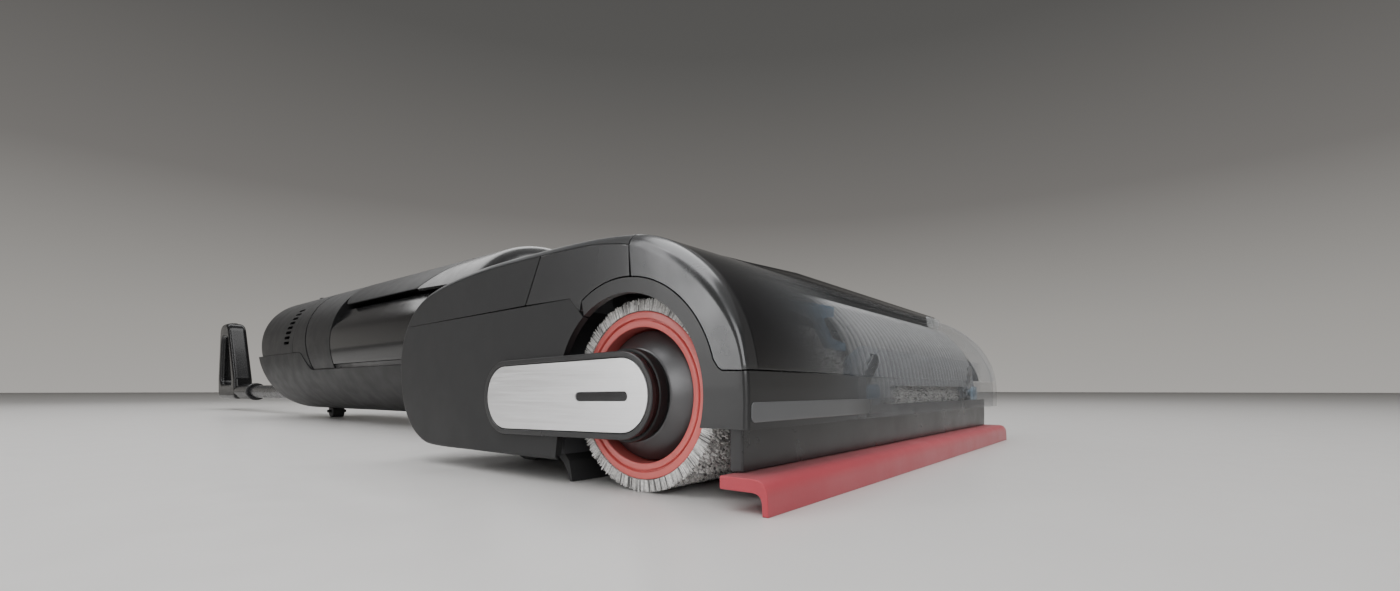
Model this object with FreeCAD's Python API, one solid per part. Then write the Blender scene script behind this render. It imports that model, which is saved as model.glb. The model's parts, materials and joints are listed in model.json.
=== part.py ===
import FreeCAD, Part
import math
import os
from FreeCAD import Vector as V

# A lie-flat floor washer. All sizes are in millimetres, +Z is up and the floor is Z = 0.
# Y runs backwards from the roller's axis, and save() moves everything so that the
# machine is centred on the origin. The machine's right side is at -X.

# Overall.
FRONT_TIP = -47.3
REAR_TIP = 1036.0
HALF_WIDTH = 134.5
OUTER_HALF_WIDTH = 136.0
GAP = 0.3

# Cleaning head.
HEAD_WALL = 2.5
HEAD_EDGE = 5.0
SIDE_IN = 128.5
SEAM_Z = 57.3
BAND_TOP = 34.2
BAND_BOTTOM = 20.0
TRAY_Z = 7.6
TRAY_T = 2.6
WELL_HALF = 35.0
WELL_FRONT = 70.0
HEAD_CURVE = [(-42.0, 30.0), (-41.4, 36.0), (-39.4, 44.0), (-35.0, 52.7), (-29.0, 60.0),
              (-20.0, 67.0), (-10.0, 71.8), (0.0, 73.6), (19.0, 74.4), (44.0, 74.4),
              (69.0, 73.8), (92.0, 71.8), (110.0, 68.6), (122.0, 63.9), (131.0, 56.0),
              (136.0, 46.0), (136.8, 36.0), (134.0, 24.0), (127.0, 14.6), (117.0, 9.0),
              (106.0, 7.6)]

# Roller and the arm that holds its open end.
ROLLER_Z = 28.0
PILE_R = 28.0
CORE_R = 22.0
RING_R = 24.4
RING_HOLE_R = 19.5
ROLLER_X0 = -127.0
ROLLER_X1 = 118.5
HOOD_X0 = -48.0
ARCH_R = 28.7
LIP_R = 32.8
ARM_R = 12.2
ARM_BACK = 56.0
ARM_PLATE_R = 10.4
AXLE_R = 4.0

# Roller drive, in the closed left end.
PULLEY_X0 = 122.6
PULLEY_X1 = 127.4
ROLLER_PULLEY_R = 12.0
MOTOR_PULLEY_R = 8.0
MOTOR_Y = 62.0
MOTOR_Z = 38.0

# Squeegee and its cam slider.
CARRIER_Y0 = -36.4
CARRIER_Y1 = -34.8
CAM_Y0 = -34.4
CAM_Y1 = -32.8
CAM_PIN_X = (-42.0, 106.0)
CAM_PIN_Z = 28.0
LIFT = 10.0
CAM_TRAVEL = 6.5

# Wheels under the head.
WHEEL_R = 18.0
WHEEL_Y = 92.0
WHEEL_X = 92.0
WHEEL_HALF = 9.0

# Neck.
HINGE_Y = 115.0
HINGE_Z = 35.0
PIN_R = 5.0
SWIVEL_Y = 150.0
EAR_R = 16.0
HOSE_Z = 62.5
HOSE_R = 10.6

# Upright body, lying down.
BODY_Z = 70.0
BODY_R = 59.5
BODY_WALL = 2.5
BODY_FRONT = 185.0
BODY_REAR = 656.0
FRONT_ROUND = 40.0
REAR_ROUND = 18.0
SHELL_TOP = 47.7
REAR_SHELL_TOP = 64.6
TANK_FRONT = 242.0
TANK_REAR = 436.0
HUMP_Z = 102.0
RING_FOOT = 485.0
RING_HEAD = 510.0
RING_WIDTH = 8.0
CAP_Y = 528.0

# Handle.
ROD_R = 8.8
ROD_Z = 27.3
ROD_START = 560.0
ROD_END = 930.0
COLLAR_Y = 884.0
COLLAR_R = 12.2
GRIP_HALF = 11.3
GRIP_NECK_R = 11.0
GRIP_OUTER = [(943.0, 16.0), (1029.0, 16.0), (1036.0, 23.0), (1036.0, 50.0), (1023.0, 124.0),
              (1016.0, 131.0), (988.0, 131.0), (979.0, 124.0), (943.0, 44.0)]
GRIP_HOLE = [(964.0, 38.0), (1014.0, 38.0), (1012.0, 56.0), (1001.0, 108.0), (977.0, 108.0)]
FOOT_R = 6.5
FOOT_Y = 590.0
FOOT_HALF = 5.6


# ---- small builders ----

def box(x0, x1, y0, y1, z0, z1):
    return Part.makeBox(x1 - x0, y1 - y0, z1 - z0, V(x0, y0, z0))


def rod_x(y, z, r, x0, x1):
    return Part.makeCylinder(r, x1 - x0, V(x0, y, z), V(1, 0, 0))


def rod_y(x, z, r, y0, y1):
    return Part.makeCylinder(r, y1 - y0, V(x, y0, z), V(0, 1, 0))


def rod_z(x, y, r, z0, z1):
    return Part.makeCylinder(r, z1 - z0, V(x, y, z0), V(0, 0, 1))


def cone_x(y, z, r0, r1, x0, x1):
    return Part.makeCone(r0, r1, x1 - x0, V(x0, y, z), V(1, 0, 0))


def ring_x(y, z, r0, r1, x0, x1):
    return rod_x(y, z, r1, x0, x1).cut(rod_x(y, z, r0, x0 - 1, x1 + 1))


def ring_y(x, z, r0, r1, y0, y1):
    return rod_y(x, z, r1, y0, y1).cut(rod_y(x, z, r0, y0 - 1, y1 + 1))


def polygon_x(points, x0, x1):
    corners = [V(x0, y, z) for y, z in points]
    corners.append(corners[0])
    face = Part.Face(Part.makePolygon(corners))
    return face.extrude(V(x1 - x0, 0, 0))


def polygon_y(points, y0, y1):
    corners = [V(x, y0, z) for x, z in points]
    corners.append(corners[0])
    face = Part.Face(Part.makePolygon(corners))
    return face.extrude(V(0, y1 - y0, 0))


def polygon_z(points, z0, z1):
    corners = [V(x, y, z0) for x, y in points]
    corners.append(corners[0])
    face = Part.Face(Part.makePolygon(corners))
    return face.extrude(V(0, 0, z1 - z0))


def stadium_x(y0, z0, y1, z1, r, x0, x1):
    run = math.hypot(y1 - y0, z1 - z0)
    ny = -(z1 - z0) / run * r
    nz = (y1 - y0) / run * r
    middle = polygon_x([(y0 + ny, z0 + nz), (y1 + ny, z1 + nz),
                        (y1 - ny, z1 - nz), (y0 - ny, z0 - nz)], x0, x1)
    return join(middle, rod_x(y0, z0, r, x0, x1), rod_x(y1, z1, r, x0, x1))


def stadium_y(x0, z0, x1, z1, r, y0, y1):
    run = math.hypot(x1 - x0, z1 - z0)
    nx = -(z1 - z0) / run * r
    nz = (x1 - x0) / run * r
    middle = polygon_y([(x0 + nx, z0 + nz), (x1 + nx, z1 + nz),
                        (x1 - nx, z1 - nz), (x0 - nx, z0 - nz)], y0, y1)
    return join(middle, rod_y(x0, z0, r, y0, y1), rod_y(x1, z1, r, y0, y1))


def join(first, *others):
    shape = first
    for other in others:
        shape = shape.fuse(other)
    return shape.removeSplitter()


def cut(first, *others):
    shape = first
    for other in others:
        shape = shape.cut(other)
    return shape


def mirror_x(shape):
    return shape.mirror(V(0, 0, 0), V(1, 0, 0))


def solids_of(shape):
    return Part.makeCompound(shape.Solids)


def save(name, shape):
    moved = solids_of(shape).copy()
    moved.translate(V(0, -(FRONT_TIP + REAR_TIP) / 2, 0))
    moved.exportStep("parts/" + name + ".step")


# ---- cleaning head ----

def head_spline(x, inset):
    curve = Part.BSplineCurve()
    curve.interpolate([V(x, y, z) for y, z in HEAD_CURVE])
    if inset == 0:
        return curve
    points = []
    for y, z in HEAD_CURVE:
        along = curve.tangent(curve.parameter(V(x, y, z)))[0]
        points.append(V(x, y + inset * along.z, z - inset * along.y))
    inner = Part.BSplineCurve()
    inner.interpolate(points)
    return inner


def head_outline(x, inset=0.0):
    curve = head_spline(x, inset)
    first = curve.StartPoint
    last = curve.EndPoint
    corners = [last, V(x, 28 + inset, last.z), V(x, 28 + inset, BAND_BOTTOM + inset),
               V(x, first.y, BAND_BOTTOM + inset), first]
    edges = [curve.toShape()]
    for a, b in zip(corners, corners[1:]):
        edges.append(Part.makeLine(a, b))
    return Part.Wire(edges)


def head_outer():
    solid = Part.Face(head_outline(-HALF_WIDTH)).extrude(V(2 * HALF_WIDTH, 0, 0))
    rims = []
    for edge in solid.Edges:
        flat = abs(abs(edge.BoundBox.XMin) - HALF_WIDTH) < 0.01 and edge.BoundBox.XLength < 0.01
        if flat and edge.BoundBox.ZLength > 50:
            rims.append(edge)
    return solid.makeFillet(HEAD_EDGE, rims)


def head_inner():
    return Part.Face(head_outline(-SIDE_IN, HEAD_WALL)).extrude(V(2 * SIDE_IN, 0, 0))


OUTER = head_outer()
SKIN = cut(OUTER, head_inner())
END_RIGHT = OUTER.common(box(-140, -SIDE_IN, -60, 150, 0, 90))
END_LEFT = OUTER.common(box(SIDE_IN, 140, -60, 150, 0, 90))
TOP_AREA = [(-2.7, 90.0), (-2.7, 50.0), (15.0, 50.3), (22.0, SEAM_Z), (145.0, SEAM_Z), (145.0, 90.0)]
SIDE_AREA = [(17.0, 52.0), (22.0, SEAM_Z - GAP), (145.0, SEAM_Z - GAP), (145.0, 0.0), (17.0, 0.0)]


def wheel_wells():
    right = box(-WHEEL_X - 11, -WHEEL_X + 11, WHEEL_Y - 21, WHEEL_Y + 21, 0, 39)
    return join(right, mirror_x(right))


def neck_well():
    return box(-WELL_HALF - 3.5, WELL_HALF + 3.5, WELL_FRONT, 150, 5, 90)


def head_chassis():
    tray = box(-128.2, 128.2, 34, 99.7, TRAY_Z, TRAY_Z + TRAY_T)
    front = box(-128.2, 121.5, 33.2, 35.7, TRAY_Z, 56)
    right = box(-128.2, -125.7, 33.2, 99.5, TRAY_Z, 56)
    left = box(125.7, 128.2, 80, 99.5, TRAY_Z, 56)
    drive_wall = join(box(119.5, 121.5, 0, 80, 9.5, 56), rod_x(0, ROLLER_Z, 27, 119.5, 121.5))
    well_right = box(-WELL_HALF - 3, -WELL_HALF, WELL_FRONT - 3, 118, TRAY_Z, 56)
    well_front = box(-WELL_HALF - 3, WELL_HALF + 3, WELL_FRONT - 3, WELL_FRONT, TRAY_Z, 56)
    boss = rod_x(HINGE_Y, HINGE_Z, 11, -WELL_HALF - 7, -WELL_HALF)
    foot = box(-WELL_HALF - 7, -WELL_HALF, HINGE_Y - 11, 118, 12.5, HINGE_Z)
    shape = join(tray, front, right, left, drive_wall, well_right, mirror_x(well_right),
                 well_front, boss, mirror_x(boss), foot, mirror_x(foot))
    mouth = box(-42, 42, 30, 38, 14, 34)
    outlet = box(-12.3, 12.3, WELL_FRONT - 5, WELL_FRONT + 2, 37.7, 62.3)
    lip_seat = box(-130, 130, 30, 48.6, TRAY_Z - 1, TRAY_Z + 1.2)
    well_floor = box(-WELL_HALF, WELL_HALF, 88, 120, 0, 13)
    pin_bore = rod_x(HINGE_Y, HINGE_Z, PIN_R + 0.05, -50, 50)
    roller_bore = rod_x(0, ROLLER_Z, 6.05, 118, 123)
    motor_hole = rod_x(MOTOR_Y, MOTOR_Z, 6, 118, 123)
    shape = cut(shape, mouth, outlet, lip_seat, pin_bore, roller_bore, motor_hole)
    return cut(shape, wheel_wells(), screw_holes())


def screw_places():
    return [(-112.0, 56.0), (-62.0, 56.0), (62.0, 56.0), (112.0, 56.0), (-45.0, 94.0), (45.0, 94.0)]


def screw_holes():
    holes = []
    for x, y in screw_places():
        holes.append(rod_z(x, y, 3.4, TRAY_Z - 1, TRAY_Z + 1.3))
        holes.append(rod_z(x, y, 1.6, TRAY_Z, TRAY_Z + 4))
    return join(*holes)


def head_screws():
    screws = []
    for x, y in screw_places():
        head = rod_z(x, y, 3.2, TRAY_Z + 0.1, TRAY_Z + 1.2)
        screws.append(join(head, rod_z(x, y, 1.5, TRAY_Z + 1, TRAY_Z + 6)))
    return Part.makeCompound(screws)


def head_top_cover():
    band = join(SKIN.common(box(-SIDE_IN, SIDE_IN, -60, 150, 0, 90)), END_RIGHT, END_LEFT)
    shape = band.common(polygon_x(TOP_AREA, -140, 140))
    return cut(shape, rod_x(0, ROLLER_Z, LIP_R + GAP, -140, 140), neck_well())


def rear_wall(x0, x1):
    return SKIN.common(box(x0, x1, 100, 150, 0, SEAM_Z - GAP))


def side_panel_right():
    slab = END_RIGHT.common(polygon_x(SIDE_AREA, -140, 0))
    shape = join(slab, rear_wall(-SIDE_IN, -WELL_HALF - 3.5))
    arch = join(rod_x(0, ROLLER_Z, ARCH_R, -140, -120),
                polygon_x([(0, 28), (ARCH_R, 28), (30.2, 7), (30.2, 0), (0, 0)], -140, -120))
    pocket = stadium_x(0, ROLLER_Z, ARM_BACK, ROLLER_Z - 1, ARM_R + 0.4, -140, -130.7)
    return cut(shape, arch, pocket, wheel_wells())


def side_panel_left():
    low = polygon_x([(-27.8, BAND_BOTTOM), (-27.8, 50), (17, 50), (22, SEAM_Z - GAP), (145, SEAM_Z - GAP),
                     (145, 0), (-27.8, 0)], SIDE_IN, 140)
    disc = rod_x(0, ROLLER_Z, LIP_R, SIDE_IN, 140)
    area = join(low, disc)
    band_zone = box(SIDE_IN, 140, -60, -27.5, 0, BAND_TOP + GAP)
    slab = cut(END_LEFT.common(area), band_zone)
    slab = cut(slab, cut(box(SIDE_IN, 140, -60, -2.4, BAND_TOP, 90), disc))
    cover = stadium_x(0, ROLLER_Z, ARM_BACK, ROLLER_Z - 1, ARM_R, HALF_WIDTH - 1, OUTER_HALF_WIDTH)
    shape = join(slab, rear_wall(WELL_HALF + 3.5, SIDE_IN), cover)
    axle_seat = rod_x(0, ROLLER_Z, 6.5, SIDE_IN - 1, SIDE_IN + 2)
    return cut(shape, wheel_wells(), axle_seat)


def arch_lip():
    ring = ring_x(0, ROLLER_Z, ARCH_R, LIP_R, -133.6, -SIDE_IN)
    return ring.common(box(-140, -120, -60, 16.7, BAND_TOP - 0.6, 90))


def end_frame(end, left):
    frame = end.common(box(-140, 140, -60, -3.0, BAND_TOP + GAP, 90))
    return cut(frame, rod_x(0, ROLLER_Z, LIP_R + GAP, -140, 140))


def front_band():
    strip = OUTER.common(box(-140, 140, -60, -39.2, BAND_BOTTOM, BAND_TOP))
    right = END_RIGHT.common(box(-140, -SIDE_IN, -60, -20, BAND_BOTTOM, BAND_TOP))
    left = END_LEFT.common(box(SIDE_IN, 140, -60, -28.2, BAND_BOTTOM, BAND_TOP))
    shape = join(strip, right, left)
    recess = box(-134.0, -40, -43, -41.5, 21.5, 27.5)
    shape = cut(shape, rod_x(0, ROLLER_Z, ARCH_R, -140, -120), recess)
    return join(shape, arch_lip())


def tag_strip():
    strip = box(-133.5, -40.5, -42.2, -41.6, 21.8, 27.2)
    return strip


def visor_area(y0, y1, z0):
    return SKIN.common(box(-SIDE_IN + GAP, SIDE_IN - GAP, y0, y1, z0, 90))


def visor():
    tab = box(96, 116, -12.5, -9.2, 70.6, 72.6)
    return join(visor_area(-60, -9.2, BAND_TOP + GAP), tab)


def visor_trim():
    strip = visor_area(-8.8, -3.0, 60)
    ridge = polygon_x([(-8.6, 72.0), (-3.4, 73.2), (-3.4, 75.4), (-6.8, 75.0)], -120, 124)
    return join(strip, ridge)


def roller_hood():
    arc = ring_x(0, ROLLER_Z, 30.0, 32.0, HOOD_X0, 118)
    keep = polygon_x([(0, ROLLER_Z - 1), (-60, 25), (-60, 90), (30, 90), (38, 64)], -130, 130)
    notch = box(-14, 101, -60, -20, 0, 31.3)
    shape = cut(arc.common(keep), notch)
    grooves = []
    for i in range(32):
        x = HOOD_X0 + 3.0 + 5.0 * i
        groove = ring_x(0, ROLLER_Z, 31.5, 33.0, x, x + 2.0)
        grooves.append(groove)
    return cut(shape, Part.makeCompound(grooves))


def rear_suction_lip():
    profile = [(30.0, 0.0), (31.2, 0.0), (32.4, 3.2), (34.6, 6.0), (37.0, 7.7), (48.2, 7.7), (48.2, 8.7),
               (33.6, 8.7), (31.6, 6.6), (30.6, 3.0)]
    return polygon_x(profile, -127.8, 118.0)


def suction_duct():
    def ring_wire(y, z, r):
        return Part.Wire(Part.makeCircle(r, V(0, y, z), V(0, 1, 0)))

    def slot_wire(y, half, z0, z1):
        corners = [V(-half, y, z0), V(half, y, z0), V(half, y, z1), V(-half, y, z1), V(-half, y, z0)]
        return Part.makePolygon(corners)

    outer = Part.makeLoft([slot_wire(36.0, 41.5, 13.0, 35.0), slot_wire(48.0, 28.0, 20.0, 48.0),
                           slot_wire(62.0, 13.0, 37.0, 63.0), slot_wire(WELL_FRONT, 12.0, 38.0, 62.0)], True, True)
    inner = Part.makeLoft([slot_wire(35.9, 39.5, 15.0, 33.0), slot_wire(48.0, 26.0, 22.0, 46.0),
                           slot_wire(62.0, 11.0, 39.0, 61.0), slot_wire(WELL_FRONT + 0.1, 10.0, 40.0, 60.0)],
                          True, True)
    return cut(outer, inner)


def spray_bar():
    bar = rod_x(27, 60, 3.2, -110, 100)
    shape = bar
    for i in range(7):
        x = -96.0 + 30.0 * i
        nozzle = Part.makeCone(1.6, 1.0, 6.0, V(x, 26.0, 58.5), V(0, -0.62, -0.78))
        shape = shape.fuse(nozzle)
    return shape


def roller_motor():
    can = rod_x(MOTOR_Y, MOTOR_Z, 17, 46, 112)
    face = rod_x(MOTOR_Y, MOTOR_Z, 15, 112, 119.2)
    shaft = rod_x(MOTOR_Y, MOTOR_Z, 2.5, 119, 127)
    return cut(join(can, face, shaft), ring_x(MOTOR_Y, MOTOR_Z, 16.2, 18, 54, 56))


def belt_side(r_roller, r_motor):
    run = math.hypot(MOTOR_Y, MOTOR_Z - ROLLER_Z)
    tilt = math.atan2(MOTOR_Z - ROLLER_Z, MOTOR_Y)
    spread = math.acos((r_roller - r_motor) / run)
    points = []
    for centre, r in (((0.0, ROLLER_Z), r_roller), ((MOTOR_Y, MOTOR_Z), r_motor)):
        for sign in (1, -1):
            a = tilt + sign * spread
            points.append((centre[0] + r * math.cos(a), centre[1] + r * math.sin(a)))
    return [points[0], points[2], points[3], points[1]]


def belt_solid(extra, x0, x1):
    middle = polygon_x(belt_side(ROLLER_PULLEY_R + extra, MOTOR_PULLEY_R + extra), x0, x1)
    return join(middle, rod_x(0, ROLLER_Z, ROLLER_PULLEY_R + extra, x0, x1),
                rod_x(MOTOR_Y, MOTOR_Z, MOTOR_PULLEY_R + extra, x0, x1))


def drive_belt():
    return cut(belt_solid(1.7, 123.4, 126.6), belt_solid(GAP, 120, 130))


def trunnion_pin():
    return rod_x(HINGE_Y, HINGE_Z, PIN_R, -41.5, 41.5)


def traction_motors():
    case = join(box(-80, -50, 80, 104, 10.6, 34), rod_x(WHEEL_Y, WHEEL_R, 3.0, -97, -79))
    return Part.makeCompound([case, mirror_x(case)])


def lift_motor():
    can = rod_x(10, 66.2, 4.4, 40, 84)
    return join(can, rod_x(10, 66.2, 1.2, 30, 41), rod_x(10, 66.2, 2.6, 30, 34))


# ---- parts that move on the head ----

def roller_core():
    tube = ring_x(0, ROLLER_Z, 19.0, CORE_R, ROLLER_X0 + 9.5, ROLLER_X1 - 1)
    plug = rod_x(0, ROLLER_Z, 19.0, ROLLER_X1 - 9, ROLLER_X1 - 1)
    stub = rod_x(0, ROLLER_Z, 6.0, ROLLER_X1 - 2, 122.4)
    key = rod_x(0, ROLLER_Z, 3.0, 122, 129.5)
    return join(tube, plug, stub, key)


def roller_pile():
    pile = ring_x(0, ROLLER_Z, CORE_R + 0.1, PILE_R, ROLLER_X0, ROLLER_X1)
    seat = rod_x(0, ROLLER_Z, RING_R + 0.1, ROLLER_X0 - 1, ROLLER_X0 + 9.2)
    return cut(pile, seat)


def roller_ring():
    ring = ring_x(0, ROLLER_Z, RING_HOLE_R, RING_R, ROLLER_X0 - 0.5, ROLLER_X0 + 9)
    groove = ring_x(0, ROLLER_Z, 21.7, 22.3, ROLLER_X0 - 1, ROLLER_X0 + 0.3)
    return cut(ring, groove)


def hub_cone():
    plug = rod_x(0, ROLLER_Z, 18.8, -124, ROLLER_X0 + 14)
    nose = cone_x(0, ROLLER_Z, 12.5, 19.0, -129.9, -124)
    bore = rod_x(0, ROLLER_Z, AXLE_R + 0.06, -131, ROLLER_X0 + 13)
    return cut(join(nose, plug), bore)


def roller_pulley():
    wheel = rod_x(0, ROLLER_Z, ROLLER_PULLEY_R, PULLEY_X0 + 0.6, PULLEY_X1)
    return cut(wheel, rod_x(0, ROLLER_Z, 3.1, 120, 130))


def motor_pulley():
    wheel = rod_x(MOTOR_Y, MOTOR_Z, MOTOR_PULLEY_R, PULLEY_X0 + 0.6, PULLEY_X1)
    return cut(wheel, rod_x(MOTOR_Y, MOTOR_Z, 2.56, 120, 130))


def arm_outline(r, x0, x1):
    return stadium_x(0, ROLLER_Z, ARM_BACK, ROLLER_Z - 1, r, x0, x1)


def roller_arm():
    bar = arm_outline(ARM_R, -OUTER_HALF_WIDTH, -131.0)
    boss = rod_x(0, ROLLER_Z, 12.0, -131.5, -130.2)
    axle = rod_x(0, ROLLER_Z, AXLE_R, -131, -116)
    recess = arm_outline(ARM_PLATE_R + 0.1, -140, -135.2)
    return cut(join(bar, boss, axle), recess)


def arm_slot(r, x0, x1):
    return stadium_x(-1.4, ROLLER_Z - 0.3, 18.0, ROLLER_Z - 0.5, r, x0, x1)


def arm_plate():
    plate = arm_outline(ARM_PLATE_R, -OUTER_HALF_WIDTH, -135.3)
    return cut(plate, arm_slot(1.35, -140, -135))


def arm_slot_insert():
    return arm_slot(1.25, -135.8, -135.3)


def squeegee_carrier():
    bar = box(-128, 128, CARRIER_Y0, -31.0, 8.9, 14.0)
    plate = box(-128, 128, CARRIER_Y0, CARRIER_Y1, 8.9, 24.0)
    shape = join(bar, plate)
    for x in CAM_PIN_X:
        lug = box(x - 5, x + 5, CARRIER_Y0, CARRIER_Y1, 20, 31)
        pin = rod_y(x, CAM_PIN_Z, 1.9, CARRIER_Y0, -32.5)
        shape = join(shape, lug, pin)
    return shape


def squeegee_blade():
    profile = [(-33.4, 8.6), (-41.4, 8.6), (-44.0, 7.8), (-45.8, 6.2), (-46.8, 4.1), (FRONT_TIP, 0.0),
               (-45.6, 0.0), (-45.1, 2.4), (-43.7, 4.2), (-40.9, 5.2), (-33.4, 5.2)]
    return polygon_x(profile, -134, 134)


def cam_slider():
    plate = box(-62, 119, CAM_Y0, CAM_Y1, 25.0, 45.5)
    notch = polygon_y([(-14, 24), (-9, 31.6), (84, 31.6), (90, 24)], CAM_Y0 - 1, CAM_Y1 + 1)
    shape = cut(plate, notch)
    for x in CAM_PIN_X:
        rise = LIFT + 4.0
        slot = stadium_y(x - 0.4, CAM_PIN_Z - 0.6, x + CAM_TRAVEL / LIFT * rise, CAM_PIN_Z + rise, 2.1,
                         CAM_Y0 - 1, CAM_Y1 + 1)
        shape = cut(shape, slot)
    return shape


def wheel_hub():
    hub = rod_x(WHEEL_Y, WHEEL_R, 12.0, -WHEEL_X - WHEEL_HALF, -WHEEL_X + WHEEL_HALF)
    dish = ring_x(WHEEL_Y, WHEEL_R, 6.0, 10.0, -WHEEL_X - WHEEL_HALF - 1, -WHEEL_X - WHEEL_HALF + 3)
    return cut(hub, dish, rod_x(WHEEL_Y, WHEEL_R, 3.06, -120, -60))


def wheel_tyre():
    tyre = ring_x(WHEEL_Y, WHEEL_R, 12.1, WHEEL_R, -WHEEL_X - WHEEL_HALF, -WHEEL_X + WHEEL_HALF)
    groove = ring_x(WHEEL_Y, WHEEL_R, WHEEL_R - 0.8, WHEEL_R + 1, -WHEEL_X - 1, -WHEEL_X + 1)
    return cut(tyre, groove)


# ---- neck ----

def neck_yoke():
    hub = rod_x(HINGE_Y, HINGE_Z, 14.5, -WELL_HALF + 1, WELL_HALF - 1)
    web = box(-15, 15, HINGE_Y, 134, 20, 50)
    ears = rod_z(0, SWIVEL_Y, EAR_R, 20, 50)
    bridge = box(-EAR_R, EAR_R, 128, SWIVEL_Y, 20, 50)
    shape = join(hub, web, ears, bridge)
    gap = join(rod_z(0, SWIVEL_Y, EAR_R + 1, 26, 44), box(-30, 30, SWIVEL_Y, 170, 26, 44))
    bore = rod_x(HINGE_Y, HINGE_Z, PIN_R + 0.05, -50, 50)
    pin_hole = rod_z(0, SWIVEL_Y, 4.1, 10, 60)
    saddle = rod_y(0, HOSE_Z, HOSE_R + 0.8, 90, 190)
    return cut(shape, gap, bore, pin_hole, saddle)


def swivel_pin():
    return join(rod_z(0, SWIVEL_Y, 4.0, 19.2, 50.4), rod_z(0, SWIVEL_Y, 6.0, 17.8, 19.4))


def neck_hose():
    shape = rod_y(0, HOSE_Z, HOSE_R - 1.6, 96, 182)
    for i in range(17):
        y = 97.0 + 5.0 * i
        shape = shape.fuse(rod_y(0, HOSE_Z, HOSE_R, y, y + 2.6))
    return cut(shape, rod_y(0, HOSE_Z, 7.4, 90, 190))


# ---- upright body ----

def body_solid(inset):
    r = BODY_R - inset
    y0 = BODY_FRONT + inset
    y1 = BODY_REAR - inset
    fr = FRONT_ROUND - inset
    rr = REAR_ROUND - inset
    flat0 = r - fr
    flat1 = r - rr
    k = math.sqrt(0.5)
    points = [V(0, y0, 0), V(0, y0, flat0), V(0, y0 + fr - fr * k, flat0 + fr * k), V(0, y0 + fr, r),
              V(0, y1 - rr, r), V(0, y1 - rr + rr * k, flat1 + rr * k), V(0, y1, flat1), V(0, y1, 0)]
    edges = [Part.makeLine(points[0], points[1]),
             Part.Arc(points[1], points[2], points[3]).toShape(),
             Part.makeLine(points[3], points[4]),
             Part.Arc(points[4], points[5], points[6]).toShape(),
             Part.makeLine(points[6], points[7]),
             Part.makeLine(points[7], points[0])]
    face = Part.Face(Part.Wire(edges))
    solid = face.revolve(V(0, 0, 0), V(0, 1, 0), 360)
    solid.translate(V(0, 0, BODY_Z))
    return solid


BODY = body_solid(0)
CAVITY = body_solid(BODY_WALL)
BODY_SKIN = cut(BODY, CAVITY)


def ring_y_at(z, offset):
    slope = (RING_HEAD - RING_FOOT) / (BODY_Z + BODY_R - SHELL_TOP)
    return RING_FOOT + offset + (z - SHELL_TOP) * slope


def behind_ring(offset, y1, z0=SHELL_TOP):
    return polygon_x([(ring_y_at(z0, offset), z0), (ring_y_at(140, offset), 140), (y1, 140), (y1, z0)], -70, 70)


def before_ring(y0, offset, z0):
    return polygon_x([(y0, z0), (y0, 140), (ring_y_at(140, offset), 140), (ring_y_at(z0, offset), z0)], -70, 70)


def low_area(extra):
    return polygon_x([(180, 0), (180, 140), (TANK_FRONT - extra, 140), (TANK_FRONT - extra, SHELL_TOP - extra),
                      (RING_FOOT + 1, SHELL_TOP - extra), (RING_HEAD, REAR_SHELL_TOP - extra),
                      (660, REAR_SHELL_TOP - extra), (660, 0)], -70, 70)


def lower_shell():
    shell = BODY_SKIN.common(low_area(0))
    bulkhead = CAVITY.common(box(-70, 70, TANK_FRONT - 2.5, TANK_FRONT, SHELL_TOP - 10, 140))
    socket = ring_y(0, ROD_Z, ROD_R + 0.1, ROD_R + 2.6, ROD_START - 4, 645)
    rib = box(-3, 3, ROD_START - 4, 645, 11, ROD_Z - ROD_R)
    socket = join(socket.common(CAVITY), rib)
    ear = box(FOOT_HALF + 0.6, FOOT_HALF + 3.6, FOOT_Y - 5, FOOT_Y + 5, 3.5, 14)
    ears = join(ear, mirror_x(ear))
    shape = join(shell, bulkhead, socket, ears)
    lug_hole = box(-10.3, 10.3, 170, 205, 26.2, 43.8)
    rod_hole = rod_y(0, ROD_Z, ROD_R + 0.1, 600, 670)
    window = box(-FOOT_HALF - 0.6, FOOT_HALF + 0.6, FOOT_Y - 8, FOOT_Y + 8, 0, 14.2)
    axle_hole = rod_x(FOOT_Y, FOOT_R, 1.56, -20, 20)
    hose_hole = rod_y(0, HOSE_Z, 8.4, 170, 200)
    contact_holes = join(*[rod_z(x, 262, 5.2, 0, 20) for x in (-14.0, 14.0)])
    return cut(shape, lug_hole, rod_hole, window, axle_hole, hose_hole, contact_holes)


def charge_contacts():
    pads = []
    for x in (-14.0, 14.0):
        pads.append(rod_z(x, 262, 5.0, 12.6, 15.4))
    return Part.makeCompound(pads)


def tank_shell(area, area_in):
    return cut(BODY.common(area), CAVITY.common(area_in))


def dirty_water_tank():
    y0 = TANK_FRONT + 0.4
    area = box(-70, 70, y0, TANK_REAR, SHELL_TOP + 0.5, HUMP_Z)
    room = box(-70, 70, y0 + 2.5, TANK_REAR - 2.5, SHELL_TOP + 3.0, 140)
    return cut(tank_shell(area, room), rod_y(0, HOSE_Z, 8.6, y0 - 5, y0 + 10))


def tank_inlet():
    y0 = TANK_FRONT + 2.9
    return ring_y(0, HOSE_Z, 8.8, 10.6, y0, y0 + 57)


def hump_cover():
    y0 = TANK_FRONT + 0.4
    area = box(-70, 70, y0, TANK_REAR, HUMP_Z + GAP, 140)
    room = box(-70, 70, y0 + 2.5, TANK_REAR - 2.5, 0, 140)
    return tank_shell(area, room)


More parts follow.
